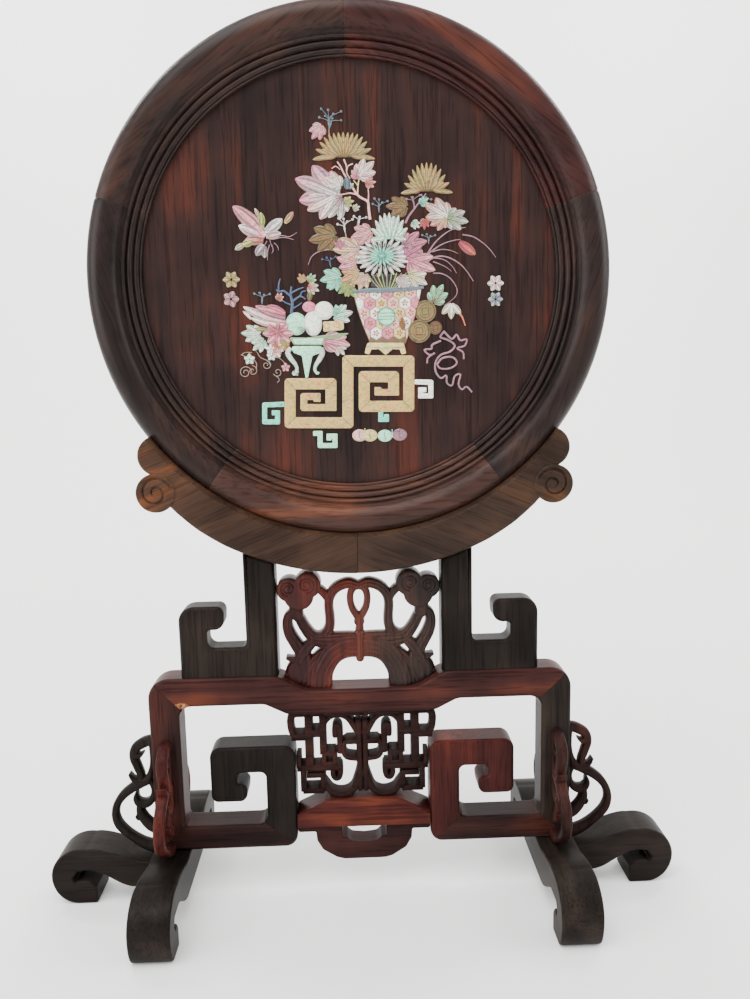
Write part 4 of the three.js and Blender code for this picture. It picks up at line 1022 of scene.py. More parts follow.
# %% Carved panel
PANEL_STRANDS = [
    ([(-1.5, 261.6, 7), (-8, 263.6, 7.6), (-15.3, 261.6, 7.6), (-20.7, 257.4, 7.4), (-23.8, 251, 7),
      (-24.4, 244, 6.8),
      (-23.8, 236, 7), (-24.2, 228, 7.4), (-27.2, 222, 8), (-33, 218.6, 8.6), (-39.2, 220.6, 8.6), (-44.6, 228, 8),
      (-48.6, 235.5, 7.6), (-53, 239.4, 7.4), (-57.2, 236.6, 7.2), (-58.4, 230, 7.6), (-56.4, 222, 8.6),
      (-52.2, 214.3, 9.2),
      (-47.4, 206, 11), (-46.8, 198.6, 16), (-48.5, 192, 21), (-49.5, 187.8, 22)], 14.0, 0.6, 3),
    ([(-25, 209, 9), (-30, 203, 12), (-35.5, 196, 14.5), (-41, 188, 16), (-44, 182, 16)], 13.0, 0.3, 4),
    ([(-33, 219, 6), (-40, 214, 8), (-45.5, 207.6, 9), (-50, 200, 8)], 12.4, -0.6, 2),
    ([(-36, 261, 5.4), (-31, 258.6, 6), (-27, 254.4, 6), (-24.4, 249.6, 5.4)], 12.5, 0.5, 0),
    ([(-50, 250, 10.4), (-51, 244, 10), (-50, 238, 9)], 14.0, -0.2, 0),
    ([(-2.6, 261.5, 5), (-5.9, 257, 5), (-7, 251, 5), (-5.7, 243.3, 5), (-2.4, 237.2, 5.2), (1.6, 231, 5.2)],
     11.5, -0.4, 0),
    ([(0, 215.6, 12), (-9, 215.8, 12.4), (-18, 215.8, 12.6), (-27, 215.6, 12.4), (-36, 217.2, 9)], 13.0, -0.7, 4),
    ([(0, 211.4, 17), (-8, 211.6, 17.4), (-16, 209.8, 17.4), (-23, 204.8, 16.6), (-28, 197.6, 16),
      (-31.6, 189.6, 16.6),
      (-33, 181, 17.6)], 14.4, -1.2, 5),
    ([(-50, 200, 7), (-55, 200.6, 5), (-59.6, 202.4, 2.4)], 11.0, 0.4, 0),
    ([(-52, 189, 8), (-57, 187.6, 5.4), (-61, 188.6, 2.4)], 11.0, 0.4, 0),
]
PANEL_HEADS = [(-41.0, 263.8, 10.8), (-56.0, 260.6, 9.8), (-48.2, 255.4, 12.0)]
HEAD_SPIRALS = [(-41.4, 264.4, 6.8, 1), (-56.2, 261.8, 6.2, -1)]
HEAD_DEPTH = 19.0
HEAD_MIDDLE = (-48.8, 259.6)
HEAD_AROUND = 120
HEAD_EDGE = 3.2
SPIRAL_PITCH, SPIRAL_DEPTH, SPIRAL_WIDTH = 2.6, 1.3, 0.6
STRAND_WIDER = 1.14


def lucky_head():
    """A low dome over three lobes, rounded at its edge, with a spiral groove sunk in each of two lobes.

    The outline is the farthest crossing of a ray from the middle with any of the three circles.
    """
    angle = np.linspace(0, 2 * pi, HEAD_AROUND, endpoint=False)
    middle = np.array(HEAD_MIDDLE)
    ray = np.stack([np.cos(angle), np.sin(angle)], axis=1)
    reach = np.zeros(HEAD_AROUND)
    for x, z, r in PANEL_HEADS:
        to = np.array([x, z]) - middle
        along = ray @ to
        inside = r ** 2 - (to @ to - along ** 2)
        reach = np.maximum(reach, np.where(inside > 0, along + np.sqrt(np.clip(inside, 0, None)), 0))
    share = np.concatenate([np.linspace(0.004, 0.78, 22), np.linspace(0.81, 1, 10)])
    radius = reach[None] * share[:, None]
    flat = middle + ray[None] * radius[..., None]
    edge = reach[None] - radius
    near_rim = np.clip(1 - edge / HEAD_EDGE, 0, 1)
    depth = HEAD_DEPTH / 2 - 2.4 * (1 - np.sqrt(np.clip(1 - near_rim ** 2, 0, 1)))
    for x, z, size, hand in HEAD_SPIRALS:
        off = flat - [x, z]
        r = np.hypot(off[..., 0], off[..., 1])
        around = (np.arctan2(off[..., 1], hand * off[..., 0]) + pi / 2) % (2 * pi)
        spiral = size - SPIRAL_PITCH * around / (2 * pi)
        near = np.minimum(np.abs(r - spiral), np.abs(r - spiral + SPIRAL_PITCH))
        depth = depth - SPIRAL_DEPTH * np.exp(-(near / SPIRAL_WIDTH) ** 2) * (r < size + 1)
    front = np.stack([flat[..., 0], -depth, flat[..., 1]], axis=-1)
    return swept(np.concatenate([front, front[::-1] * [1, -1, 1]]))


def panel_half():
    """Every strand of the left half with its own depth, lift and number of grooves, and the head over them."""
    parts = [band([(x, z, width * STRAND_WIDER) for x, z, width in points], depth, lift, squareness=0.55,
                  grooves=grooves) for points, depth, lift, grooves in PANEL_STRANDS]
    return together([*parts, lucky_head()])


left_half = panel_half()
knot = band([(0, 201.5, 7.2), (0, 210, 6.2), (0, 222, 7.0)], HEAD_DEPTH, -0.4, squareness=0.6)
knot_tail = band([(0, 221, 8), (0.4, 228, 6.4), (1.6, 233, 5)], 12.5, squareness=0.6)
panel_wood = cut_from("crimson", "z", fade=("dark", -0.010, 0.020), streak=(0.38, 0.48, 0.60), level=0.1)
panel = piece("carved_panel_carved", together([left_half, mirror(left_half), knot, knot_tail]), panel_wood,
              "carved_panel")
print("carved panel:", len(panel.data.polygons), "faces")

# %% [markdown]
# ## The inlay: a slip of shell
# The picture on the board is laid in shell, bone and horn: flowers in a vase, fruit on a dish, two bone tables and
# some small luck signs. Every piece is a thin slip that stands a little proud, is softly rounded and has its lines
# engraved and darkened. A painted picture on a flat board would lose that relief, and an image isn't wanted here.
# So one function makes a slip: a line down its middle with a width that changes, and a section that rises from the
# rim. Its colour is kept at each point and made darker towards the rim, so that one material serves every slip.

# %% Slips
BOARD_FACE = -4.0
SHELL = {
    "white": (0.88, 0.85, 0.80), "pearl": (0.60, 0.55, 0.55), "pink": (0.68, 0.17, 0.28), "blush": (0.78, 0.40, 0.38),
    "rose": (0.42, 0.055, 0.10), "coral": (0.56, 0.11, 0.065), "turquoise": (0.15, 0.62, 0.48),
    "mint": (0.38, 0.78, 0.54),
    "sage": (0.20, 0.28, 0.13), "lime": (0.38, 0.44, 0.07), "gold": (0.22, 0.140, 0.050),
    "horn": (0.15, 0.068, 0.018),
    "bone": (0.52, 0.335, 0.105), "cream": (0.64, 0.50, 0.20), "slate": (0.10, 0.14, 0.18),
    "blue": (0.045, 0.075, 0.16),
    "stem": (0.26, 0.19, 0.15), "ink": (0.010, 0.006, 0.005), "dusk": (0.27, 0.13, 0.17),
}


def slip(rows, tone, tip=None, proud=0.8, across=7, per_span=3, rim=0.85, thick=None, score=0.0):
    """A slip along (x, z, width) rows: its front is proud by 1 - v^4, v from -1 at one rim to 1 at the other.

    The colour runs from tone to tip along it, and is multiplied by 1 - rim * v^4 towards the rims and by
    1 - score along two scored lines halfway between rim and middle.
    """
    line = smooth_line(rows, per_span)
    centre, width = line[:, :2], np.clip(line[:, 2], 0.15, None)
    along = np.gradient(centre, axis=0)
    along /= np.linalg.norm(along, axis=1, keepdims=True) + 1e-9
    side = np.stack([-along[:, 1], along[:, 0]], axis=1)
    v = np.linspace(-1, 1, across)
    flat = centre[:, None] + side[:, None] * (width[:, None] / 2 * v[None])[..., None]
    swell = np.minimum(1, width / (2.2 * proud))[:, None]
    front = BOARD_FACE - proud + (0.55 * min(proud, 1.0) * swell) * v[None] ** 4
    under = BOARD_FACE + 0.3 if thick is None else BOARD_FACE - proud + thick
    face = np.stack([flat[..., 0], front, flat[..., 1]], axis=-1)
    back = face[:, [-1, 0]].copy()
    back[..., 1] = under
    shape = swept(np.concatenate([face, back], axis=1))
    run = np.linspace(0, 1, len(line))[:, None, None]
    v = np.concatenate([v, [1, -1]])
    shade = ((1 - rim * v ** 4) * (1 - score * np.exp(-((np.abs(v) - 0.5) / 0.14) ** 2)))[None, :, None]
    paint = (np.array(SHELL[tone]) * (1 - run) + np.array(SHELL[tip or tone]) * run) * shade
    return *shape, paint.reshape(-1, 3)


def heading(degrees):
    """The unit step in that direction, 0 to the right and 90 upwards."""
    return np.array([cos(radians(degrees)), sin(radians(degrees))])


def petal(base, degrees, length, width, tone, tip=None, bend=0.0, proud=0.8, point=0.12, root=0.45):
    """A leaf shape: it leaves the base in one direction, and bends sideways by the square of the way along it."""
    ahead, aside = heading(degrees), heading(degrees + 90)
    t = np.array([0, 0.22, 0.5, 0.78, 0.93, 1.0])[:, None]
    middle = np.array(base) + length * (ahead * t + aside * bend * t ** 2)
    share = np.array([root, 0.8, 1.0, 0.78, 0.42, point])[:, None]
    return slip(np.hstack([middle, width * share]), tone, tip, proud, across=9, score=0.75)


def dome(centre, reach, tone, proud=1.3, sides=20, rim=0.5, flat=0.45, turn=0.0):
    """A low dome: rings of points whose height is 1 - r^2 to a power, on an ellipse with the given half axes."""
    r = np.array([1.0, 1.0, 0.9, 0.7, 0.4, 0.12])
    height = np.append(-0.3, proud * (1 - r[1:] ** 2 * 0.97) ** flat)
    angle = np.linspace(0, 2 * pi, sides, endpoint=False)
    along, aside = heading(turn), heading(turn + 90)
    reach = np.broadcast_to(reach, 2)
    flatwise = (np.cos(angle)[:, None] * reach[0] * along + np.sin(angle)[:, None] * reach[1] * aside)
    rings = np.array(centre) + r[:, None, None] * flatwise[None]
    depth = np.broadcast_to((BOARD_FACE - height)[:, None], rings.shape[:2])
    shape = swept(np.stack([rings[..., 0], depth, rings[..., 1]], axis=-1))
    shade = np.repeat(1 - rim * r ** 8, sides)[:, None]
    return *shape, np.array(SHELL[tone])[None] * shade


def flat_slip(corners, tone, proud=0.8, bevel=0.35, rim=0.45):
    """A flat slip with the given (x, z, rounding) corners: a wall, then a bevel in along each corner's mitre."""
    rim_line = np.concatenate(corner_arcs(corners, 4))
    before, after = np.roll(rim_line, 1, 0), np.roll(rim_line, -1, 0)
    turn = np.sum(rim_line[:, 0] * after[:, 1] - rim_line[:, 1] * after[:, 0])
    normal = [np.stack([-step[:, 1], step[:, 0]], 1) / np.linalg.norm(step, axis=1, keepdims=True)
              for step in (rim_line - before, after - rim_line)]
    mitre = sum(normal)
    mitre = np.sign(turn) * mitre / np.maximum(0.6, np.sum(mitre * normal[0], axis=1, keepdims=True))
    inner = rim_line + bevel * mitre
    rings = np.stack([rim_line, rim_line, inner])
    depth = np.array([BOARD_FACE + 0.3, BOARD_FACE - proud + bevel * 0.8, BOARD_FACE - proud])
    depth = np.broadcast_to(depth[:, None], rings.shape[:2])
    shape = swept(np.stack([rings[..., 0], depth, rings[..., 1]], axis=-1))
    shade = np.repeat([1 - rim, 1 - rim * 0.6, 1.0], len(rim_line))[:, None]
    return *shape, np.array(SHELL[tone])[None] * shade


def scored(points, width=0.45, proud=0.92, per_span=3):
    """An engraved line, filled with dark wax: a hair of ink that lies on the slip."""
    rows = [(x, z, width) for x, z in points]
    return slip(rows, "ink", proud=proud, across=3, per_span=per_span, rim=0.0, thick=0.3)


def ring_line(centre, reach, tone, width=0.5, proud=0.92, turns=(0, 360), steps=14):
    """A line round a centre."""
    angle = np.radians(np.linspace(*turns, steps))
    reach = np.broadcast_to(reach, 2)
    rows = np.stack([centre[0] + reach[0] * np.cos(angle), centre[1] + reach[1] * np.sin(angle),
                     np.full(steps, width)], axis=1)
    return slip(rows, tone, proud=proud, across=3, per_span=2, rim=0.0, thick=None if tone != "ink" else 0.3)


# %% [markdown]
# ## Shell, bone and horn
# Mother-of-pearl shows faint bands of pink, green and white that shift over a few millimetres. Here the bands are a
# stretched noise that tints the colour kept at each point. It could be a thin film in the shader, but that is
# lost on export, so the bands are part of the colour, and a clear coat gives the polish.

# %% Shell material
print("tones of shell:", ", ".join(SHELL))


def shell_material():
    """Kept colour x pearly bands, with fine scratches in the roughness."""
    material = bpy.data.materials.new("shell_and_bone")
    material.use_nodes = True
    nodes, links = material.node_tree.nodes, material.node_tree.links
    shader = nodes["Principled BSDF"]
    kept = nodes.new("ShaderNodeAttribute")
    kept.attribute_name = "shell_tone"
    place = nodes.new("ShaderNodeTexCoord")
    stretch = nodes.new("ShaderNodeMapping")
    stretch.inputs["Rotation"].default_value = (0, radians(35), 0)
    stretch.inputs["Scale"].default_value = (1, 1, 2.4)
    links.new(place.outputs["Object"], stretch.inputs["Vector"])
    bands = noise(nodes, links, stretch.outputs["Vector"], 130, 3, 0.6)
    pearl = ramp(nodes, [(0.30, (0.90, 0.46, 0.58)), (0.42, (1.26, 1.22, 1.12)), (0.50, (0.60, 0.80, 0.72)),
                         (0.58, (1.30, 1.28, 1.20)), (0.70, (0.56, 0.52, 0.76))])
    links.new(bands.outputs["Fac"], pearl.inputs["Fac"])
    tint = nodes.new("ShaderNodeMix")
    tint.data_type = "RGBA"
    tint.blend_type = "MULTIPLY"
    tint.inputs["Factor"].default_value = 1.0
    links.new(kept.outputs["Color"], tint.inputs["A"])
    links.new(pearl.outputs["Color"], tint.inputs["B"])
    links.new(tint.outputs["Result"], shader.inputs["Base Color"])
    scratch = noise(nodes, links, place.outputs["Object"], 900, 2, 0.5)
    shine = nodes.new("ShaderNodeMapRange")
    shine.inputs["To Min"].default_value = 0.22
    shine.inputs["To Max"].default_value = 0.42
    links.new(scratch.outputs["Fac"], shine.inputs["Value"])
    links.new(shine.outputs["Result"], shader.inputs["Roughness"])
    bump = nodes.new("ShaderNodeBump")
    bump.inputs["Strength"].default_value = 0.2
    bump.inputs["Distance"].default_value = 0.0002
    links.new(scratch.outputs["Fac"], bump.inputs["Height"])
    links.new(bump.outputs["Normal"], shader.inputs["Normal"])
    shader.inputs["Coat Weight"].default_value = 0.25
    shader.inputs["Coat Roughness"].default_value = 0.15
    return material


shell = shell_material()


def inlay(name, slips):
    """Lay slips into the board as one piece, lifted to the ring's centre, with their colours on their points."""
    slips = list(slips)
    points, faces = together([(slip_points, slip_faces) for slip_points, slip_faces, _ in slips])
    thing = piece(name, (points + [0, 0, RING_Z], faces), shell, sharp=50)
    kept = thing.data.attributes.new("shell_tone", "FLOAT_COLOR", "POINT")
    paint = np.concatenate([tones for _, _, tones in slips])
    kept.data.foreach_set("color", np.hstack([paint, np.ones((len(paint), 1))]).ravel())
    print(name, "has", len(slips), "slips and", len(faces), "faces")
    return thing


# %% [markdown]
# ## Bone tables
# Two squared spirals of pale bone carry the dish and the vase. Each is one band of even width, mitred at its
# corners like a picture frame: square inside a corner, eased outside it. The two edges of the band are the
# middle line moved sideways by half the width along each corner's mitre.

# %% Tables
FULL_ROUNDING = 12


def moved(line, distance):
    """A line of corners moved sideways, each corner along its mitre."""
    line = np.asarray(line, dtype=float)
    step = np.diff(line, axis=0)
    step /= np.linalg.norm(step, axis=1, keepdims=True)
    step = np.concatenate([step[:1], step, step[-1:]])
    normal = np.stack([-step[:, 1], step[:, 0]], axis=1)
    both = normal[:-1] + normal[1:]
    return line + distance * both / np.sum(both * normal[:-1], axis=1, keepdims=True)


def squared(line, width, tone, eased=3.0, inside=0.6, proud=0.9, mitres=True):
    """A band along a line of corners, with a dark mitre across each of them; short legs are eased less."""
    line = np.asarray(line, dtype=float)
    left, right = moved(line, width / 2), moved(line, -width / 2)
    step = np.diff(line, axis=0)
    turn = np.concatenate([[0], np.sign(step[:-1, 0] * step[1:, 1] - step[:-1, 1] * step[1:, 0]), [0]])
    lengths = np.linalg.norm(step, axis=1)
    short = np.concatenate([[1], np.minimum(1, np.minimum(lengths[:-1], lengths[1:]) / FULL_ROUNDING), [1]])
    round_left = np.where(turn < 0, eased * short, inside)
    round_right = np.where(turn > 0, eased * short, inside)
    corners = [(*p, r) for p, r in zip(left, round_left)] + [(*p, r) for p, r in zip(right[::-1], round_right[::-1])]
    slips = [flat_slip(corners, tone, proud)]
    if mitres:
        slips += [scored([a, b], 0.4, proud + 0.08, 2) for a, b in zip(left[1:-1], right[1:-1])]
    return slips


TABLE_BAND = 8.6
TABLE_LINE = [(-18.0, -100.2), (-17.4, -79.3), (-49.0, -78.7), (-50.1, -108.7), (-5.0, -109.8), (-3.8, -62.1),
              (43.5, -63.1), (42.9, -98.0), (8.1, -97.3),
              (8.6, -74.4), (31.4, -74.9), (31.2, -89.4)]
LEFT_CURL = [(-13.7, -97.7), (-39.0, -97.2), (-38.7, -88.7), (-28.4, -88.9), (-28.6, -93.1)]
RIGHT_CURL = [(35.2, -87.0), (18.9, -86.6), (19.0, -82.6)]
SMALL_SCROLLS = [
    ("turquoise", [(-54.0, -94.3), (-69.4, -94.5), (-69.9, -107.6), (-59.9, -107.9), (-59.6, -100.8),
                   (-64.1, -100.7)]),
    ("mint", [(-32.5, -117.5), (-27.0, -117.6), (-27.3, -127.1), (-15.6, -127.4), (-15.4, -120.0),
              (-20.1, -119.9), (-20.2, -123.3)]),
    ("white", [(47.7, -79.1), (60.4, -79.8), (60.3, -90.3), (52.3, -90.1), (52.4, -85.4), (56.9, -85.5)]),
    ("turquoise", [(20.9, -101.8), (20.7, -107.8), (25.3, -107.9), (25.3, -103.7)]),
]
tables = squared(TABLE_LINE, TABLE_BAND, "bone")
for line, width in ((LEFT_CURL, 5.4), (RIGHT_CURL, 5.2)):
    tables += squared(line, width, "bone", proud=0.84, mitres=False)
for tone, line in SMALL_SCROLLS:
    tables += squared(line, 3.9, tone, eased=1.8, mitres=False)
inlay("inlay_tables", tables)

# %% [markdown]
# ## Blossoms and leaves
# Nearly all the flowers are fans of petals. A chrysanthemum seen from the side has three rows of them, each row
# in front of the last and shorter; an open flower has them all round; a maple leaf is five lobes with a
# vein in each. Drawing each petal by hand would allow more variety, but the fans keep the spacing that makes the
# real flowers read as chrysanthemums.

# %% Fans
def chrysanthemum(foot, reach, rise, count, tone, tip, square=3.2, width=3.7):
    """Three rows of petals from one foot: a tip is at (reach s, rise (1 - |s|^square)), s from -1 to 1."""
    slips = []
    for row, share in enumerate((1.0, 0.8, 0.56)):
        for s in np.linspace(-1, 1, count - 3 * row):
            start = np.array(foot) + [reach * 0.4 * s * share, 0.4 + row * 0.5]
            end = np.array(foot) + share * np.array([reach * s, rise * (1 - abs(s) ** square) + 0.6])
            way = end - start
            slips.append(petal(start, np.degrees(np.arctan2(way[1], way[0])), np.linalg.norm(way), width,
                               tone, tip, bend=-0.12 * s, proud=0.7 + 0.25 * row))
    return slips


def rayed(centre, reach, count, tone, tip=None, from_share=0.3, full=0.9, proud=0.8, turn=0.0):
    """Petals all round an ellipse, from a share of its reach out to its rim."""
    reach = np.broadcast_to(reach, 2).astype(float)
    slips = []
    for index in range(count):
        ahead = heading(turn + 360 * index / count) * reach
        start, way = np.array(centre) + ahead * from_share, ahead * (1 - from_share)
        width = full * 2 * pi * np.linalg.norm(ahead) * 0.75 / count
        slips.append(petal(start, np.degrees(np.arctan2(way[1], way[0])), np.linalg.norm(way), width, tone, tip,
                           proud=proud + 0.05 * (index % 2), point=0.45))
    return slips


def maple(stalk, degrees, size, tone, tip=None, spread=62, proud=0.8):
    """Five lobes from the stalk, the middle one longest, and an engraved vein in each."""
    slips = []
    for index, (aside, length) in enumerate(((-1, 0.55), (1, 0.58), (-0.5, 0.84), (0.5, 0.86), (0, 1.0))):
        way = degrees + spread * aside
        slips.append(petal(stalk, way, size * length, size * 0.42, tone, tip, proud=proud + 0.06 * index, root=0.7))
        far = np.array(stalk) + heading(way) * size * length * 0.72
        middle = tuple((np.array(stalk) + far) / 2)
        slips.append(scored([stalk, middle, tuple(far)], 0.32, proud + 0.06 * index + 0.1, 2))
    return slips


def stem(points, width, tone="stem", taper=0.5, proud=0.7):
    """A stalk or a blade of grass that thins towards its end."""
    count = len(points)
    rows = [(x, z, width * (1 - (1 - taper) * i / (count - 1))) for i, (x, z) in enumerate(points)]
    return slip(rows, tone, proud=proud, across=5, per_span=4, rim=0.35)


def sprig(foot, degrees, size, count, tone, berry):
    """Stalks that part from one foot, each with a hollow-eyed berry."""
    slips = []
    for index in range(count):
        way = degrees + 38 * (2 * index / max(1, count - 1) - 1)
        length = size * (1.0, 0.72, 0.88)[index % 3]
        end = np.array(foot) + heading(way) * length
        knee = np.array(foot) + heading(degrees) * length * 0.5
        slips.append(stem([foot, tuple(knee), tuple(end)], 0.7, tone))
        slips.append(dome(end, berry, tone, proud=1.1, sides=10, flat=0.4))
        slips.append(dome(end, berry * 0.42, "ink", proud=1.18, sides=8, flat=0.2, rim=0))
    return slips


OPEN_FLOWER = (24.3, 16.0)
flowers = chrysanthemum((-3.0, 87.7), 23.2, 17.4, 15, "gold", "bone")
flowers += chrysanthemum((59.0, 62.4), 19.5, 20.5, 13, "gold", "bone", square=2.2, width=3.6)
flowers += chrysanthemum((30.3, 28.1), 16.0, 19.0, 11, "mint", "white", square=2.6, width=4.2)
flowers += rayed((24.6, 15.6), (20.3, 14.6), 22, "pearl", "white", from_share=0.42)
flowers += rayed(OPEN_FLOWER, (11.0, 8.0), 16, "turquoise", "mint", from_share=0.3, proud=1.0, turn=11)
flowers += [scored([tuple(np.array(OPEN_FLOWER) + heading(way) * reach) for reach in ((8.6, 6.6), (12.6, 9.4))],
                   0.7, 1.2, 2) for way in range(8, 368, 18)]
flowers.append(dome((24.1, 16.3), (3.8, 2.9), "turquoise", proud=1.5))
flowers += rayed((24.1, 16.3), (3.4, 2.6), 8, "turquoise", "blue", from_share=0.25, proud=1.6)
inlay("inlay_flowers", flowers)

# %% [markdown]
# ## Twigs, leaves and grass
# The twigs are laid first and thin, the leaves over them. Each row below is a place, a direction, a size in
# millimetres and two tones: pink and white shell above, brown horn and green shell among them.

# %% Foliage
twigs = [stem(points, width, tone) for width, tone, points in (
    (2.0, "blush", [(15.7, 43.0), (15.0, 49.5), (14.3, 55.9), (10.3, 58.3), (6.4, 61.2), (3.1, 66.4),
                    (-0.1, 71.6), (-3.3, 76.7), (-5.8, 81.9), (-8.0, 85.0)]),
    (1.2, "blush", [(-3.0, 86.7), (-1.2, 81.8), (-1.0, 76.7), (1.3, 72.8)]),
    (1.0, "blush", [(3.7, 83.3), (0.2, 81.8), (-1.0, 78.0)]),
    (0.9, "blush", [(-12.2, 80.1), (-9.2, 81.7), (-5.9, 79.3)]),
    (1.2, "cream", [(6.6, 61.2), (7.2, 67.6), (8.3, 72.8), (10.8, 77.8)]),
    (1.0, "cream", [(7.2, 67.6), (3.9, 71.5)]), (1.1, "blush", [(14.6, 55.9), (15.0, 61.1), (14.6, 66.9)]),
    (1.2, "blush", [(6.4, 61.2), (1.0, 62.3), (-5.7, 61.4), (-11.1, 62.0)]),
    (1.8, "dusk", [(42.4, 40.0), (45.2, 45.1), (49.4, 50.3), (53.5, 55.4), (58.3, 61.1)]),
    (1.0, "dusk", [(49.4, 50.3), (48.8, 55.5), (46.8, 59.4)]),
    (1.0, "stem", [(-2.5, 28.9), (-3.5, 35.4), (-4.9, 40.7)]),
    (0.9, "stem", [(5.7, 35.3), (6.1, 40.5), (7.0, 44.4)]),
    (0.9, "stem", [(-13.2, 104.2), (-13.5, 106.7), (-13.2, 109.8)]),
)]
BLADES = [
    (1.3, [(-11.4, 20.9), (-17.7, 21.5), (-24.5, 19.8), (-29.3, 16.5), (-32.1, 10.7)]),
    (1.5, [(57.3, 14.2), (62.6, 22.6), (68.8, 29.1), (77.7, 34.7), (88.1, 36.1)]),
    (1.2, [(58.2, 16.1), (65.3, 21.3), (72.2, 24.9), (80.4, 27.0), (84.2, 27.3)]),
    (1.1, [(85.9, 30.9), (94.1, 29.2), (102.3, 23.9), (107.5, 18.8), (111.3, 13.7)]),
    (1.4, [(59.8, 12.8), (68.0, 15.3), (76.2, 13.8), (84.4, 8.8), (90.1, 2.3), (94.0, -3.8)]),
    (1.0, [(61.2, 14.1), (68.0, 13.6), (73.5, 11.6), (78.2, 7.2), (81.1, 2.5)]),
    (0.9, [(63.2, 11.4), (68.6, 9.3), (73.4, 6.9), (77.2, 3.9)]),
    (1.0, [(62.6, 18.7), (69.4, 20.2), (76.3, 19.5), (82.5, 17.0)]),
    (1.1, [(63.1, 2.8), (69.9, 2.3), (76.4, -1.4), (81.0, -8.2), (81.0, -13.5), (77.1, -17.7), (71.3, -21.4)]),
]
twigs += [stem(points, width, "dusk", 0.35) for width, points in BLADES]
SPRIGS = [
    ((-13.2, 107.9), 92, 15.5, 5, "slate", 1.0), ((-13.2, 108.6), 70, 10.5, 3, "slate", 0.9),
    ((22.5, 48.1), 88, 10.5, 5, "slate", 1.0), ((-3.5, 34.1), 95, 11.0, 5, "pearl", 1.0),
    ((6.9, 39.2), 80, 8.0, 3, "pearl", 1.0), ((49.4, 52.2), 100, 9.0, 3, "dusk", 0.9),
    ((55.9, 54.1), 62, 7.0, 3, "slate", 0.9), ((-15.0, 8.7), 100, 8.5, 4, "blue", 0.9),
    ((59.9, 24.6), 88, 8.0, 4, "slate", 0.9), ((-68.2, -17.8), 88, 9.5, 4, "slate", 1.0),
]
for sprig_row in SPRIGS:
    twigs += sprig(*sprig_row)
inlay("inlay_twigs", twigs)

LEAVES = [
    ((-19.3, 110.2), 232, 11.5, "blush", "pink"), ((-10.8, 61.5), 158, 31.0, "pearl", "pink"),
    ((-11.4, 59.5), 205, 22.0, "white", "blush"),
    ((-6.6, 67.6), 150, 13.5, "white", "blush"), ((-5.1, 58.2), 232, 17.0, "dusk", "white"),
    ((-3.5, 55.5), 8, 7.5, "lime", "cream"),
    ((8.3, 74.7), 42, 15.0, "white", "blush"), ((6.0, 72.8), 88, 8.0, "pink", "blush"),
    ((13.3, 68.8), 10, 7.5, "coral", "blush"),
    ((42.9, 51.9), 178, 15.0, "gold", "horn"), ((-11.7, 31.6), 190, 19.5, "gold", "horn"),
    ((73.7, 44.7), 152, 18.5, "white", "coral"),
    ((73.0, 43.4), 205, 13.0, "cream", "pink"), ((75.1, 43.4), -12, 15.5, "sage", "pearl"),
    ((48.1, 40.5), -40, 6.5, "mint", "white"),
    ((57.1, 42.4), 268, 7.5, "coral", "rose"), ((54.3, 53.8), 35, 7.0, "turquoise", "mint"),
    ((15.5, 33.8), 195, 15.0, "blush", "pink"),
    ((6.1, 20.9), 178, 19.0, "blush", "cream"), ((41.5, 23.0), 12, 17.5, "dusk", "pink"),
    ((42.7, 16.4), 30, 14.0, "pink", "dusk"),
    ((46.1, 12.4), -22, 20.0, "pink", "blush"), ((44.6, 1.8), -28, 15.5, "cream", "white"),
    ((-6.8, 21.1), 100, 9.0, "pink", "dusk"),
    ((3.8, 10.4), 160, 15.0, "blush", "pink"), ((5.7, 3.8), 205, 15.0, "cream", "coral"),
    ((10.4, 2.4), 250, 12.0, "blush", "cream"),
    ((-8.7, 1.4), 190, 15.0, "mint", "turquoise"), ((-9.4, 0.0), 230, 11.0, "turquoise", "mint"),
    ((-0.7, -4.8), 215, 11.0, "lime", "sage"),
    ((-2.1, -6.1), 300, 9.0, "sage", "lime"), ((38.4, 0.6), 290, 10.0, "blush", "white"),
    ((42.5, -0.8), 250, 9.5, "white", "dusk"),
    ((63.8, -18.6), 62, 14.5, "sage", "mint"), ((-36.0, -1.5), 120, 6.5, "cream", "coral"),
    ((-32.0, -1.6), 40, 7.0, "lime", "mint"),
    ((-32.1, -5.5), -25, 8.5, "coral", "white"), ((-55.9, -15.1), 60, 6.0, "coral", "blush"),
    ((3.4, 50.9), 20, 5.0, "cream", "white"),
]
leaves = []
for index, (place, degrees, size, tone, tip) in enumerate(LEAVES):
    leaves += maple(place, degrees, size, tone, tip, proud=0.78 + 0.05 * (index % 3))
leaves += [petal((83.4, 25.6), -38, 15.5, 7.6, "rose", "coral"), petal((-32.4, -16.2), 78, 8.5, 4.4, "horn", "sage"),
           petal((-0.8, 65.2), 92, 8.6, 6.4, "slate", "slate"), petal((1.1, 65.1), 60, 5.0, 3.0, "slate", "pearl")]
leaves += [petal((77.1, -20.4), way, size, 5.5, "white", "cream", proud=0.9 + 0.06 * k)
           for k, (way, size) in enumerate(((225, 10.5), (312, 10.5), (268, 11.5)))]
leaves.append(stem([(82.8, -27.0), (85.6, -31.1), (87.6, -37.1)], 1.8, "coral", 0.5))
for centre, reach, count, tone, tip in (((-90.8, 0.6), 6.3, 6, "gold", "cream"),
                                        ((-91.7, -13.9), 6.0, 5, "dusk", "blush"),
                                        ((111.1, -5.5), 6.2, 6, "blush", "white"),
                                        ((111.1, -17.5), 5.6, 6, "slate", "pearl")):
    leaves += rayed(centre, reach, count, tone, tip, from_share=0.15)
inlay("inlay_leaves", leaves)

# %% [markdown]
# ## The butterfly
# It faces the flowers, with its wings up and its feelers out to the right. The wings are wide petals with darker
# veins, and the body and feelers are thin lines.

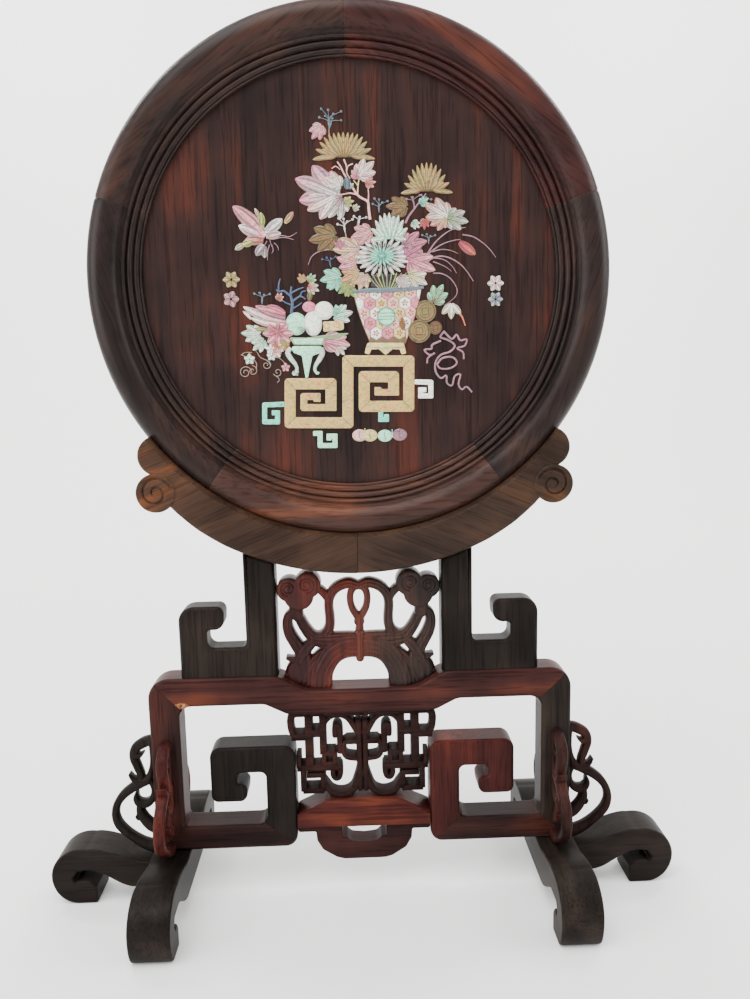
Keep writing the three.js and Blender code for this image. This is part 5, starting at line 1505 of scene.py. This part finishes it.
# %% Butterfly
butterfly = []
for place, degrees, length, width, tone, tip in (
    ((-63.5, 32.4), 134, 32.0, 11.5, "blush", "pink"), ((-64.3, 31.2), 152, 21.0, 9.5, "pink", "white"),
    ((-65.4, 29.2), 176, 13.5, 8.0, "coral", "blush"),
    ((-63.8, 34.4), 34, 16.5, 8.5, "pearl", "white"), ((-63.2, 31.8), 8, 11.5, 6.5, "blush", "pearl"),
    ((-66.3, 38.3), 88, 11.0, 6.0, "lime", "cream"),
    ((-72.8, 28.7), 196, 9.0, 6.0, "lime", "cream"), ((-79.9, 26.4), 205, 8.0, 4.6, "cream", "pearl"),
    ((-48.7, 41.3), 48, 10.5, 4.8, "cream", "rose"),
    ((-67.8, 45.5), 110, 7.5, 3.0, "cream", "pearl"), ((-65.5, 26.0), 232, 10.0, 6.5, "pearl", "dusk"),
    ((-64.2, 24.6), 262, 8.5, 5.0, "dusk", "pearl"),
):
    butterfly.append(petal(place, degrees, length, width, tone, tip, bend=0.06))
    near, far = np.array(place), np.array(place) + heading(degrees) * length * 0.8
    for aside in (-0.18, 0.18):
        out = heading(degrees + 90) * width * aside
        vein = [tuple(near + (far - near) * 0.15), tuple((near + far) / 2 + out), tuple(far + out * 0.6)]
        butterfly.append(scored(vein, 0.3, 0.95, 3))
butterfly += [stem(points, 0.8, "dusk") for points in (
    [(-61.8, 35.0), (-60.6, 29.8), (-59.2, 24.5)], [(-58.9, 31.1), (-51.1, 32.3), (-45.7, 31.4), (-40.0, 34.2)],
    [(-58.2, 29.8), (-49.8, 30.9), (-42.3, 29.2)],
    [(-60.8, 25.9), (-62.3, 20.7), (-62.9, 14.4)], [(-59.2, 25.9), (-58.2, 21.9), (-59.4, 19.3)],
    [(-57.4, 27.1), (-54.8, 24.5), (-54.2, 21.6)],
    [(-61.7, 36.3), (-59.1, 33.7), (-55.2, 31.0)], [(-62.7, 28.5), (-65.6, 23.3), (-67.2, 18.1)],
)]
inlay("inlay_butterfly", butterfly)

# %% [markdown]
# ## The vase
# The vase is a mosaic: six-sided cells of pink and cream shell over a dark ground, each with a small blossom.
# The cells lie on a staggered grid, and the ones at the sides are pressed in to the outline of the vase, as if cut.
# Its mouth is dark, with the stalks of the flowers in it, and it stands on a low carved foot.

# %% Vase
VASE_X = 27.6
VASE_TOP, VASE_FOOT = -9.0, -49.6
VASE_WIDE, VASE_NARROW = 26.6, 13.6


def vase_half(z):
    """Half the width of the vase: it tapers from its mouth to its foot with a slight swell."""
    t = np.clip((VASE_TOP - z) / (VASE_TOP - VASE_FOOT), 0, 1)
    return VASE_WIDE + (VASE_NARROW - VASE_WIDE) * t + 1.3 * np.sin(pi * t)


def pressed(part):
    """Points that lie outside the vase are moved in to its side."""
    points, faces, tones = part
    limit = vase_half(points[:, 2]) - 0.7
    points = points.copy()
    points[:, 0] = np.clip(points[:, 0], VASE_X - limit, VASE_X + limit)
    points[:, 2] = np.clip(points[:, 2], VASE_FOOT + 0.6, VASE_TOP - 0.4)
    return points, faces, tones


edge_z = np.linspace(VASE_TOP, VASE_FOOT, 9)
vase_edge = [(VASE_X - vase_half(z), z, 0.3) for z in edge_z]
vase_edge += [(VASE_X + vase_half(z), z, 0.3) for z in edge_z[::-1]]
vase = [flat_slip(vase_edge, "horn", proud=0.55)]
CELL = 9.0
for row, z in enumerate(np.arange(VASE_TOP - 2.6, VASE_FOOT + 2, -CELL * 0.83)):
    for column, x in enumerate(np.arange(-27, 28, CELL) + (row % 2) * CELL / 2):
        if abs(x) < vase_half(z) + CELL * 0.3:
            tone = ("cream", "blush", "white", "pink")[(row * 2 + column) % 4]
            vase.append(pressed(dome((VASE_X + x, z), CELL * 0.545, tone, 0.95, sides=6, flat=0.12, rim=0.3,
                                     turn=30)))
            if abs(x) < vase_half(z) - CELL * 0.35:
                vase += rayed((VASE_X + x, z), 2.5, 5, "coral", "gold", full=0.8, proud=1.05, turn=18 * row)
                vase.append(dome((VASE_X + x, z), 0.7, "lime", 1.3, sides=8))
vase.append(dome((26.6, -29.1), 7.5, "mint", 1.45, sides=28, flat=0.15))
vase += [scored([(x - w, z), (x, z), (x + w, z)], 0.35, 1.56, 2)
         for (x, z), w in (((26.4, -26.5), 4.6), ((27.3, -28.9), 5.2), ((25.9, -31.1), 5.0))]
vase.append(ring_line((26.6, -29.1), 6.6, "ink", 0.35, 1.5, steps=20))
vase.append(dome((39.2, -35.1), (3.2, 6.2), "horn", 1.2, sides=16))
vase.append(flat_slip([(16.5, 2.4, 1), (48.1, 2.4, 1), (48.7, -6.4, 1), (15.5, -6.6, 1)], "ink", proud=0.45, rim=0))
STALK_TONES = ("sage", "stem", "lime", "sage", "stem", "sage", "lime", "stem", "sage")
vase += [stem([(VASE_X + 0.42 * s, -7.4), (VASE_X + 0.75 * s, -2), (VASE_X + s, 3.4)], 0.9, tone, 0.8, 0.9)
         for s, tone in zip(np.linspace(-15, 15, len(STALK_TONES)), STALK_TONES)]
vase.append(slip([(1.4, -10.2, 2.4), (11.5, -9.4, 3.6), (28.6, -9.4, 4.2), (45.8, -8.6, 3.6),
                  (55.7, -7.5, 2.4)], "slate", "slate", 1.3))
vase.append(flat_slip([(11.9, -48.5, 1), (39.7, -49.1, 1), (40.7, -53.1, 1), (41.7, -57.3, 1), (37.8, -58.0, 1),
                       (36.5, -54.1, 1), (31.0, -53.8, 1), (25.7, -58.3, 1.5),
                  (20.3, -53.6, 1), (14.5, -53.7, 1), (13.1, -57.5, 1), (9.2, -56.7, 1), (10.3, -52.5, 1)],
                  "cream", 0.95))
vase += [scored([(11.1, -51.6), (25.5, -52.9), (40.2, -52.2)], 0.35, 1.05, 3)]
inlay("inlay_vase", vase)

# %% [markdown]
# ## The dish of fruit
# A footed dish carries pale fruit, a curled one in pink and a peony, with leaves over both sides and tendrils
# below. A blue branch of coral stands behind. The fruits are domes, which catch the light on one side as
# thick shell does.

# %% Dish
dish = [stem(points, width, "blue", 0.6, 0.75) for width, points in (
    (2.4, [(-46.1, -25.3), (-45.1, -18.0), (-46.2, -11.3), (-45.4, -5.3)]),
    (1.8, [(-45.3, -16.6), (-39.2, -12.7), (-34.9, -14.8)]),
    (1.8, [(-46.0, -12.6), (-51.3, -8.5), (-55.4, -9.1), (-56.9, -7.1)]),
    (1.5, [(-55.4, -9.1), (-54.9, -3.2), (-53.6, 0.8)]),
    (1.5, [(-45.6, -10.0), (-40.3, -7.4), (-36.2, -6.1)]), (1.3, [(-45.1, -19.3), (-50.2, -17.2), (-53.1, -15.1)]),
    (1.3, [(-39.2, -12.7), (-37.4, -9.4), (-34.7, -8.8)]), (1.2, [(-45.5, -22.0), (-40.7, -19.4), (-37.9, -17.4)]),
)]
dish += [petal(*row) for row in (
    ((-50.8, -31.5), 172, 33, 7.5, "pink", "white", -0.22, 0.9),
    ((-50.9, -28.9), 165, 24, 8.5, "dusk", "pink", -0.15, 1.0),
    ((-50.8, -26.4), 158, 20, 6.5, "rose", "blush", 0.12, 1.1),
    ((-51.0, -25.1), 148, 15, 5.5, "pink", "rose", 0.2, 1.15),
    ((-52.1, -33.4), 182, 25, 6.0, "blush", "white", -0.25, 1.0),
    ((-63.9, -37.0), 176, 17, 4.0, "gold", "cream", 0.1, 0.9),
    ((-77.2, -29.1), 118, 8, 3.0, "white", "white", 0.3, 1.0),
)]
dish += rayed((-56.5, -40.0), (12.0, 9.6), 8, "pink", "blush", from_share=0.1, proud=1.1)
dish += rayed((-57.5, -39.0), (7.4, 6.0), 6, "rose", "pink", from_share=0.1, proud=1.3, turn=20)
dish += [dome((-57.5, -39.0), (2.0, 1.7), "gold", 1.8)]
dish += [dome((-42.7, -33.2), (8.2, 8.6), "mint", 1.5, sides=28),
         dome((-29.8, -33.1), (7.0, 9.6), "white", 1.8, sides=28),
         dome((-21.1, -23.7), (7.4, 7.0), "white", 1.7, sides=28),
         dome((-32.5, -20.7), (5.2, 4.2), "pink", 1.4, sides=20)]
dish += [ring_line((-35.3, -35.0), (r, r * 0.8), "ink", 0.3, 1.75, (185, 300), 10) for r in (3.4, 5.0, 6.6)]
dish.append(flat_slip([(-22.2, -32.0, 1), (-6.6, -31.5, 2), (-6.0, -38.4, 2), (-22.0, -39.7, 1)], "cream", 1.1))
dish += [ring_line(place, 2.3, "coral", 0.7, 1.2, steps=12) for place in ((-19.4, -35.1), (-11.7, -34.2))]
for place, degrees, size, tone, tip, spread in (
    ((-12.8, -28.1), 12, 14.0, "mint", "white", 62), ((-11.7, -27.1), 60, 9.0, "turquoise", "mint", 62),
    ((-71.6, -40.3), 176, 13.5, "white", "mint", 62), ((-68.4, -45.2), 222, 11.0, "mint", "white", 62),
    ((-21.4, -46.1), -12, 20.0, "pink", "blush", 40), ((-12.4, -50.1), -50, 9.5, "blush", "white", 62),
    ((-57.9, -47.9), 250, 11.0, "coral", "blush", 62), ((-51.3, -45.5), 232, 9.0, "lime", "coral", 62),
):
    dish += maple(place, degrees, size, tone, tip, spread)
for place, size, tone in (((-63.0, -51.9), 4.0, "white"), ((-58.6, -54.6), 4.2, "pearl"),
                          ((-62.7, -57.3), 3.6, "white"), ((-55.4, -51.3), 3.2, "blush"),
                          ((-79.6, -59.3), 4.2, "mint"), ((-52.0, -66.1), 3.4, "pink"),
                          ((-44.4, -70.3), 2.6, "dusk")):
    dish += rayed(place, size, 5, tone, "white" if tone != "pink" else "blush", from_share=0.12, proud=0.95, turn=18)
dish.append(flat_slip([(-48.9, -43.2, 1), (-44.9, -49.2, 1), (-23.3, -49.6, 1), (-17.5, -46.4, 2),
                       (-8.5, -44.3, 2), (-1.4, -40.8, 0.4), (-12.1, -41.1, 2), (-22.6, -42.2, 2),
                  (-35.6, -43.8, 2)], "sage", 1.0))
dish.append(flat_slip([(-46.6, -44.3, 1), (-44.1, -48.5, 1), (-23.8, -48.9, 1), (-21.3, -44.3, 1)], "mint", 1.2))
dish.append(flat_slip([(-48.1, -49.9, 2), (-22.0, -50.4, 2), (-24.8, -55.5, 2), (-31.1, -57.7, 2),
                       (-35.1, -74.4, 0.4), (-36.9, -74.4, 0.4), (-39.2, -57.5, 2), (-45.4, -55.1, 2)],
                 "mint", 1.1))
dish += [slip(rows, "pearl", "mint", 1.15) for rows in (
    [(-47.6, -51.3, 3.6), (-50.1, -54.8, 4.2), (-47.4, -60.0, 4.0), (-44.6, -63.6, 3.2), (-43.2, -68.0, 2.6),
     (-45.4, -71.6, 2.2), (-47.0, -70.3, 1.4)],
    [(-24.4, -51.8, 3.6), (-23.2, -55.3, 4.2), (-25.7, -60.4, 4.0), (-28.2, -64.0, 3.2), (-29.6, -67.8, 2.6),
     (-27.9, -71.2, 2.2), (-26.3, -70.2, 1.4)],
)]
inlay("inlay_dish", dish)

# %% [markdown]
# ## Tendrils, ribbons and small signs
# A tendril is a spiral that closes evenly. The coins are flat discs with a square hole, plain because only their
# shape matters, and waved ribbons hang from them; under the tables lie two pairs of peaches. Each is made with
# the same few slips as the flowers, which keeps the whole picture in one manner.

# %% Small signs
def tendril(centre, reach, start, turns):
    """A spiral: its radius falls evenly from the reach to a fifth of it."""
    share = np.linspace(0, 1, round(8 * abs(turns)) + 4)
    angle = radians(start) + 2 * pi * turns * share
    r = reach * (1 - 0.8 * share)
    rows = np.stack([centre[0] + r * np.cos(angle), centre[1] + r * np.sin(angle), np.full(len(share), 0.7)], axis=1)
    return slip(rows, "stem", proud=0.65, across=5, per_span=2)


def coin(centre, radius, tone, proud):
    """A flat disc with a rim line, an inner ring and a square hole."""
    x, z = centre
    h = radius * 0.3
    square = [(x - h, z - h), (x + h, z - h), (x + h, z + h), (x - h, z + h), (x - h, z - h)]
    over = proud + 0.1
    sides = [scored([a, tuple((np.array(a) + b) / 2), b], 0.4, over, 2) for a, b in zip(square[:-1], square[1:])]
    return [dome(centre, radius, tone, proud, sides=32, flat=0.1),
            ring_line(centre, radius * 0.84, "ink", 0.4, over, steps=20),
            ring_line(centre, radius * 0.56, "ink", 0.35, over, (20, 160), 8),
            ring_line(centre, radius * 0.56, "ink", 0.35, over, (200, 340), 8), *sides]


signs = coin((64.5, -38.1), 5.2, "horn", 0.8) + coin((56.8, -25.6), 8.4, "gold", 1.0)
signs += coin((51.9, -40.6), 8.8, "gold", 1.3)
signs += [tendril(*row) for row in (((-83.2, -69.3), 5.0, 0, 1.6), ((-77.7, -68.1), 4.0, 90, -1.2),
                                    ((-66.8, -63.9), 3.6, 60, -1.3), ((-58.4, -69.5), 3.6, 200, 1.2))]
signs += [stem(points, 0.7, "stem", 0.8) for points in (
    [(-74.9, -66.9), (-74.3, -63.0), (-76.5, -59.8), (-82.9, -57.1), (-86.2, -55.7)],
    [(-63.4, -64.0), (-66.2, -60.6), (-71.3, -57.9), (-73.7, -54.0), (-76.2, -51.4)],
    [(-61.6, -71.0), (-57.3, -75.0), (-59.0, -77.6)],
    [(-52.1, -66.7), (-53.2, -62.2), (-56.7, -58.9), (-60.1, -58.2)],
    [(-85.5, -55.7), (-82.5, -54.1), (-77.6, -54.2)],
)]
RIBBONS = [
    [(71.6, -40.8), (68.3, -45.2), (74.4, -47.7), (79.4, -51.9), (75.7, -56.5), (68.5, -58.9), (64.3, -64.5),
     (64.4, -71.8), (68.4, -76.8), (72.6, -74.8),
     (73.1, -80.6), (77.1, -82.5), (79.2, -75.5), (83.7, -74.3), (82.1, -81.6), (84.7, -85.8), (88.5, -83.8),
     (92.7, -88.1)],
    [(65.4, -66.1), (69.8, -61.3), (77.7, -60.9), (80.9, -65.4), (75.8, -69.2), (68.2, -69.3), (65.2, -65.6)],
    [(71.3, -41.4), (77.1, -46.9), (80.8, -43.7), (83.6, -48.1), (88.6, -47.4), (87.0, -52.3), (81.2, -54.0),
     (85.7, -57.2), (86.4, -62.6)],
    [(68.6, -48.1), (62.0, -51.0), (61.2, -54.1), (55.7, -54.8), (59.6, -58.7), (63.8, -57.3), (58.5, -60.8),
     (57.7, -65.2)],
]
signs += [stem(points, 1.7, "dusk", 0.8, 0.8 + 0.08 * index) for index, points in enumerate(RIBBONS)]
PEACHES = [((4.0, -119.9), "blush"), ((12.2, -120.1), "cream"), ((23.9, -120.6), "mint"), ((35.4, -120.1), "dusk")]
for place, tone in PEACHES:
    cleft = [tuple(np.array(place) + off) for off in ((0.4, 4.2), (-0.6, 0.5), (0.6, -3.0))]
    signs += [dome(place, (5.9, 4.8), tone, 1.3, sides=24), scored(cleft, 0.3, 1.45, 3)]
signs += [stem([(8.1, -114.4), (8.3, -117.7), (8.5, -121.1)], 0.8, "cream"),
          stem([(29.6, -115.7), (29.6, -118.9), (29.8, -122.1)], 0.8, "mint")]
inlay("inlay_signs", signs)
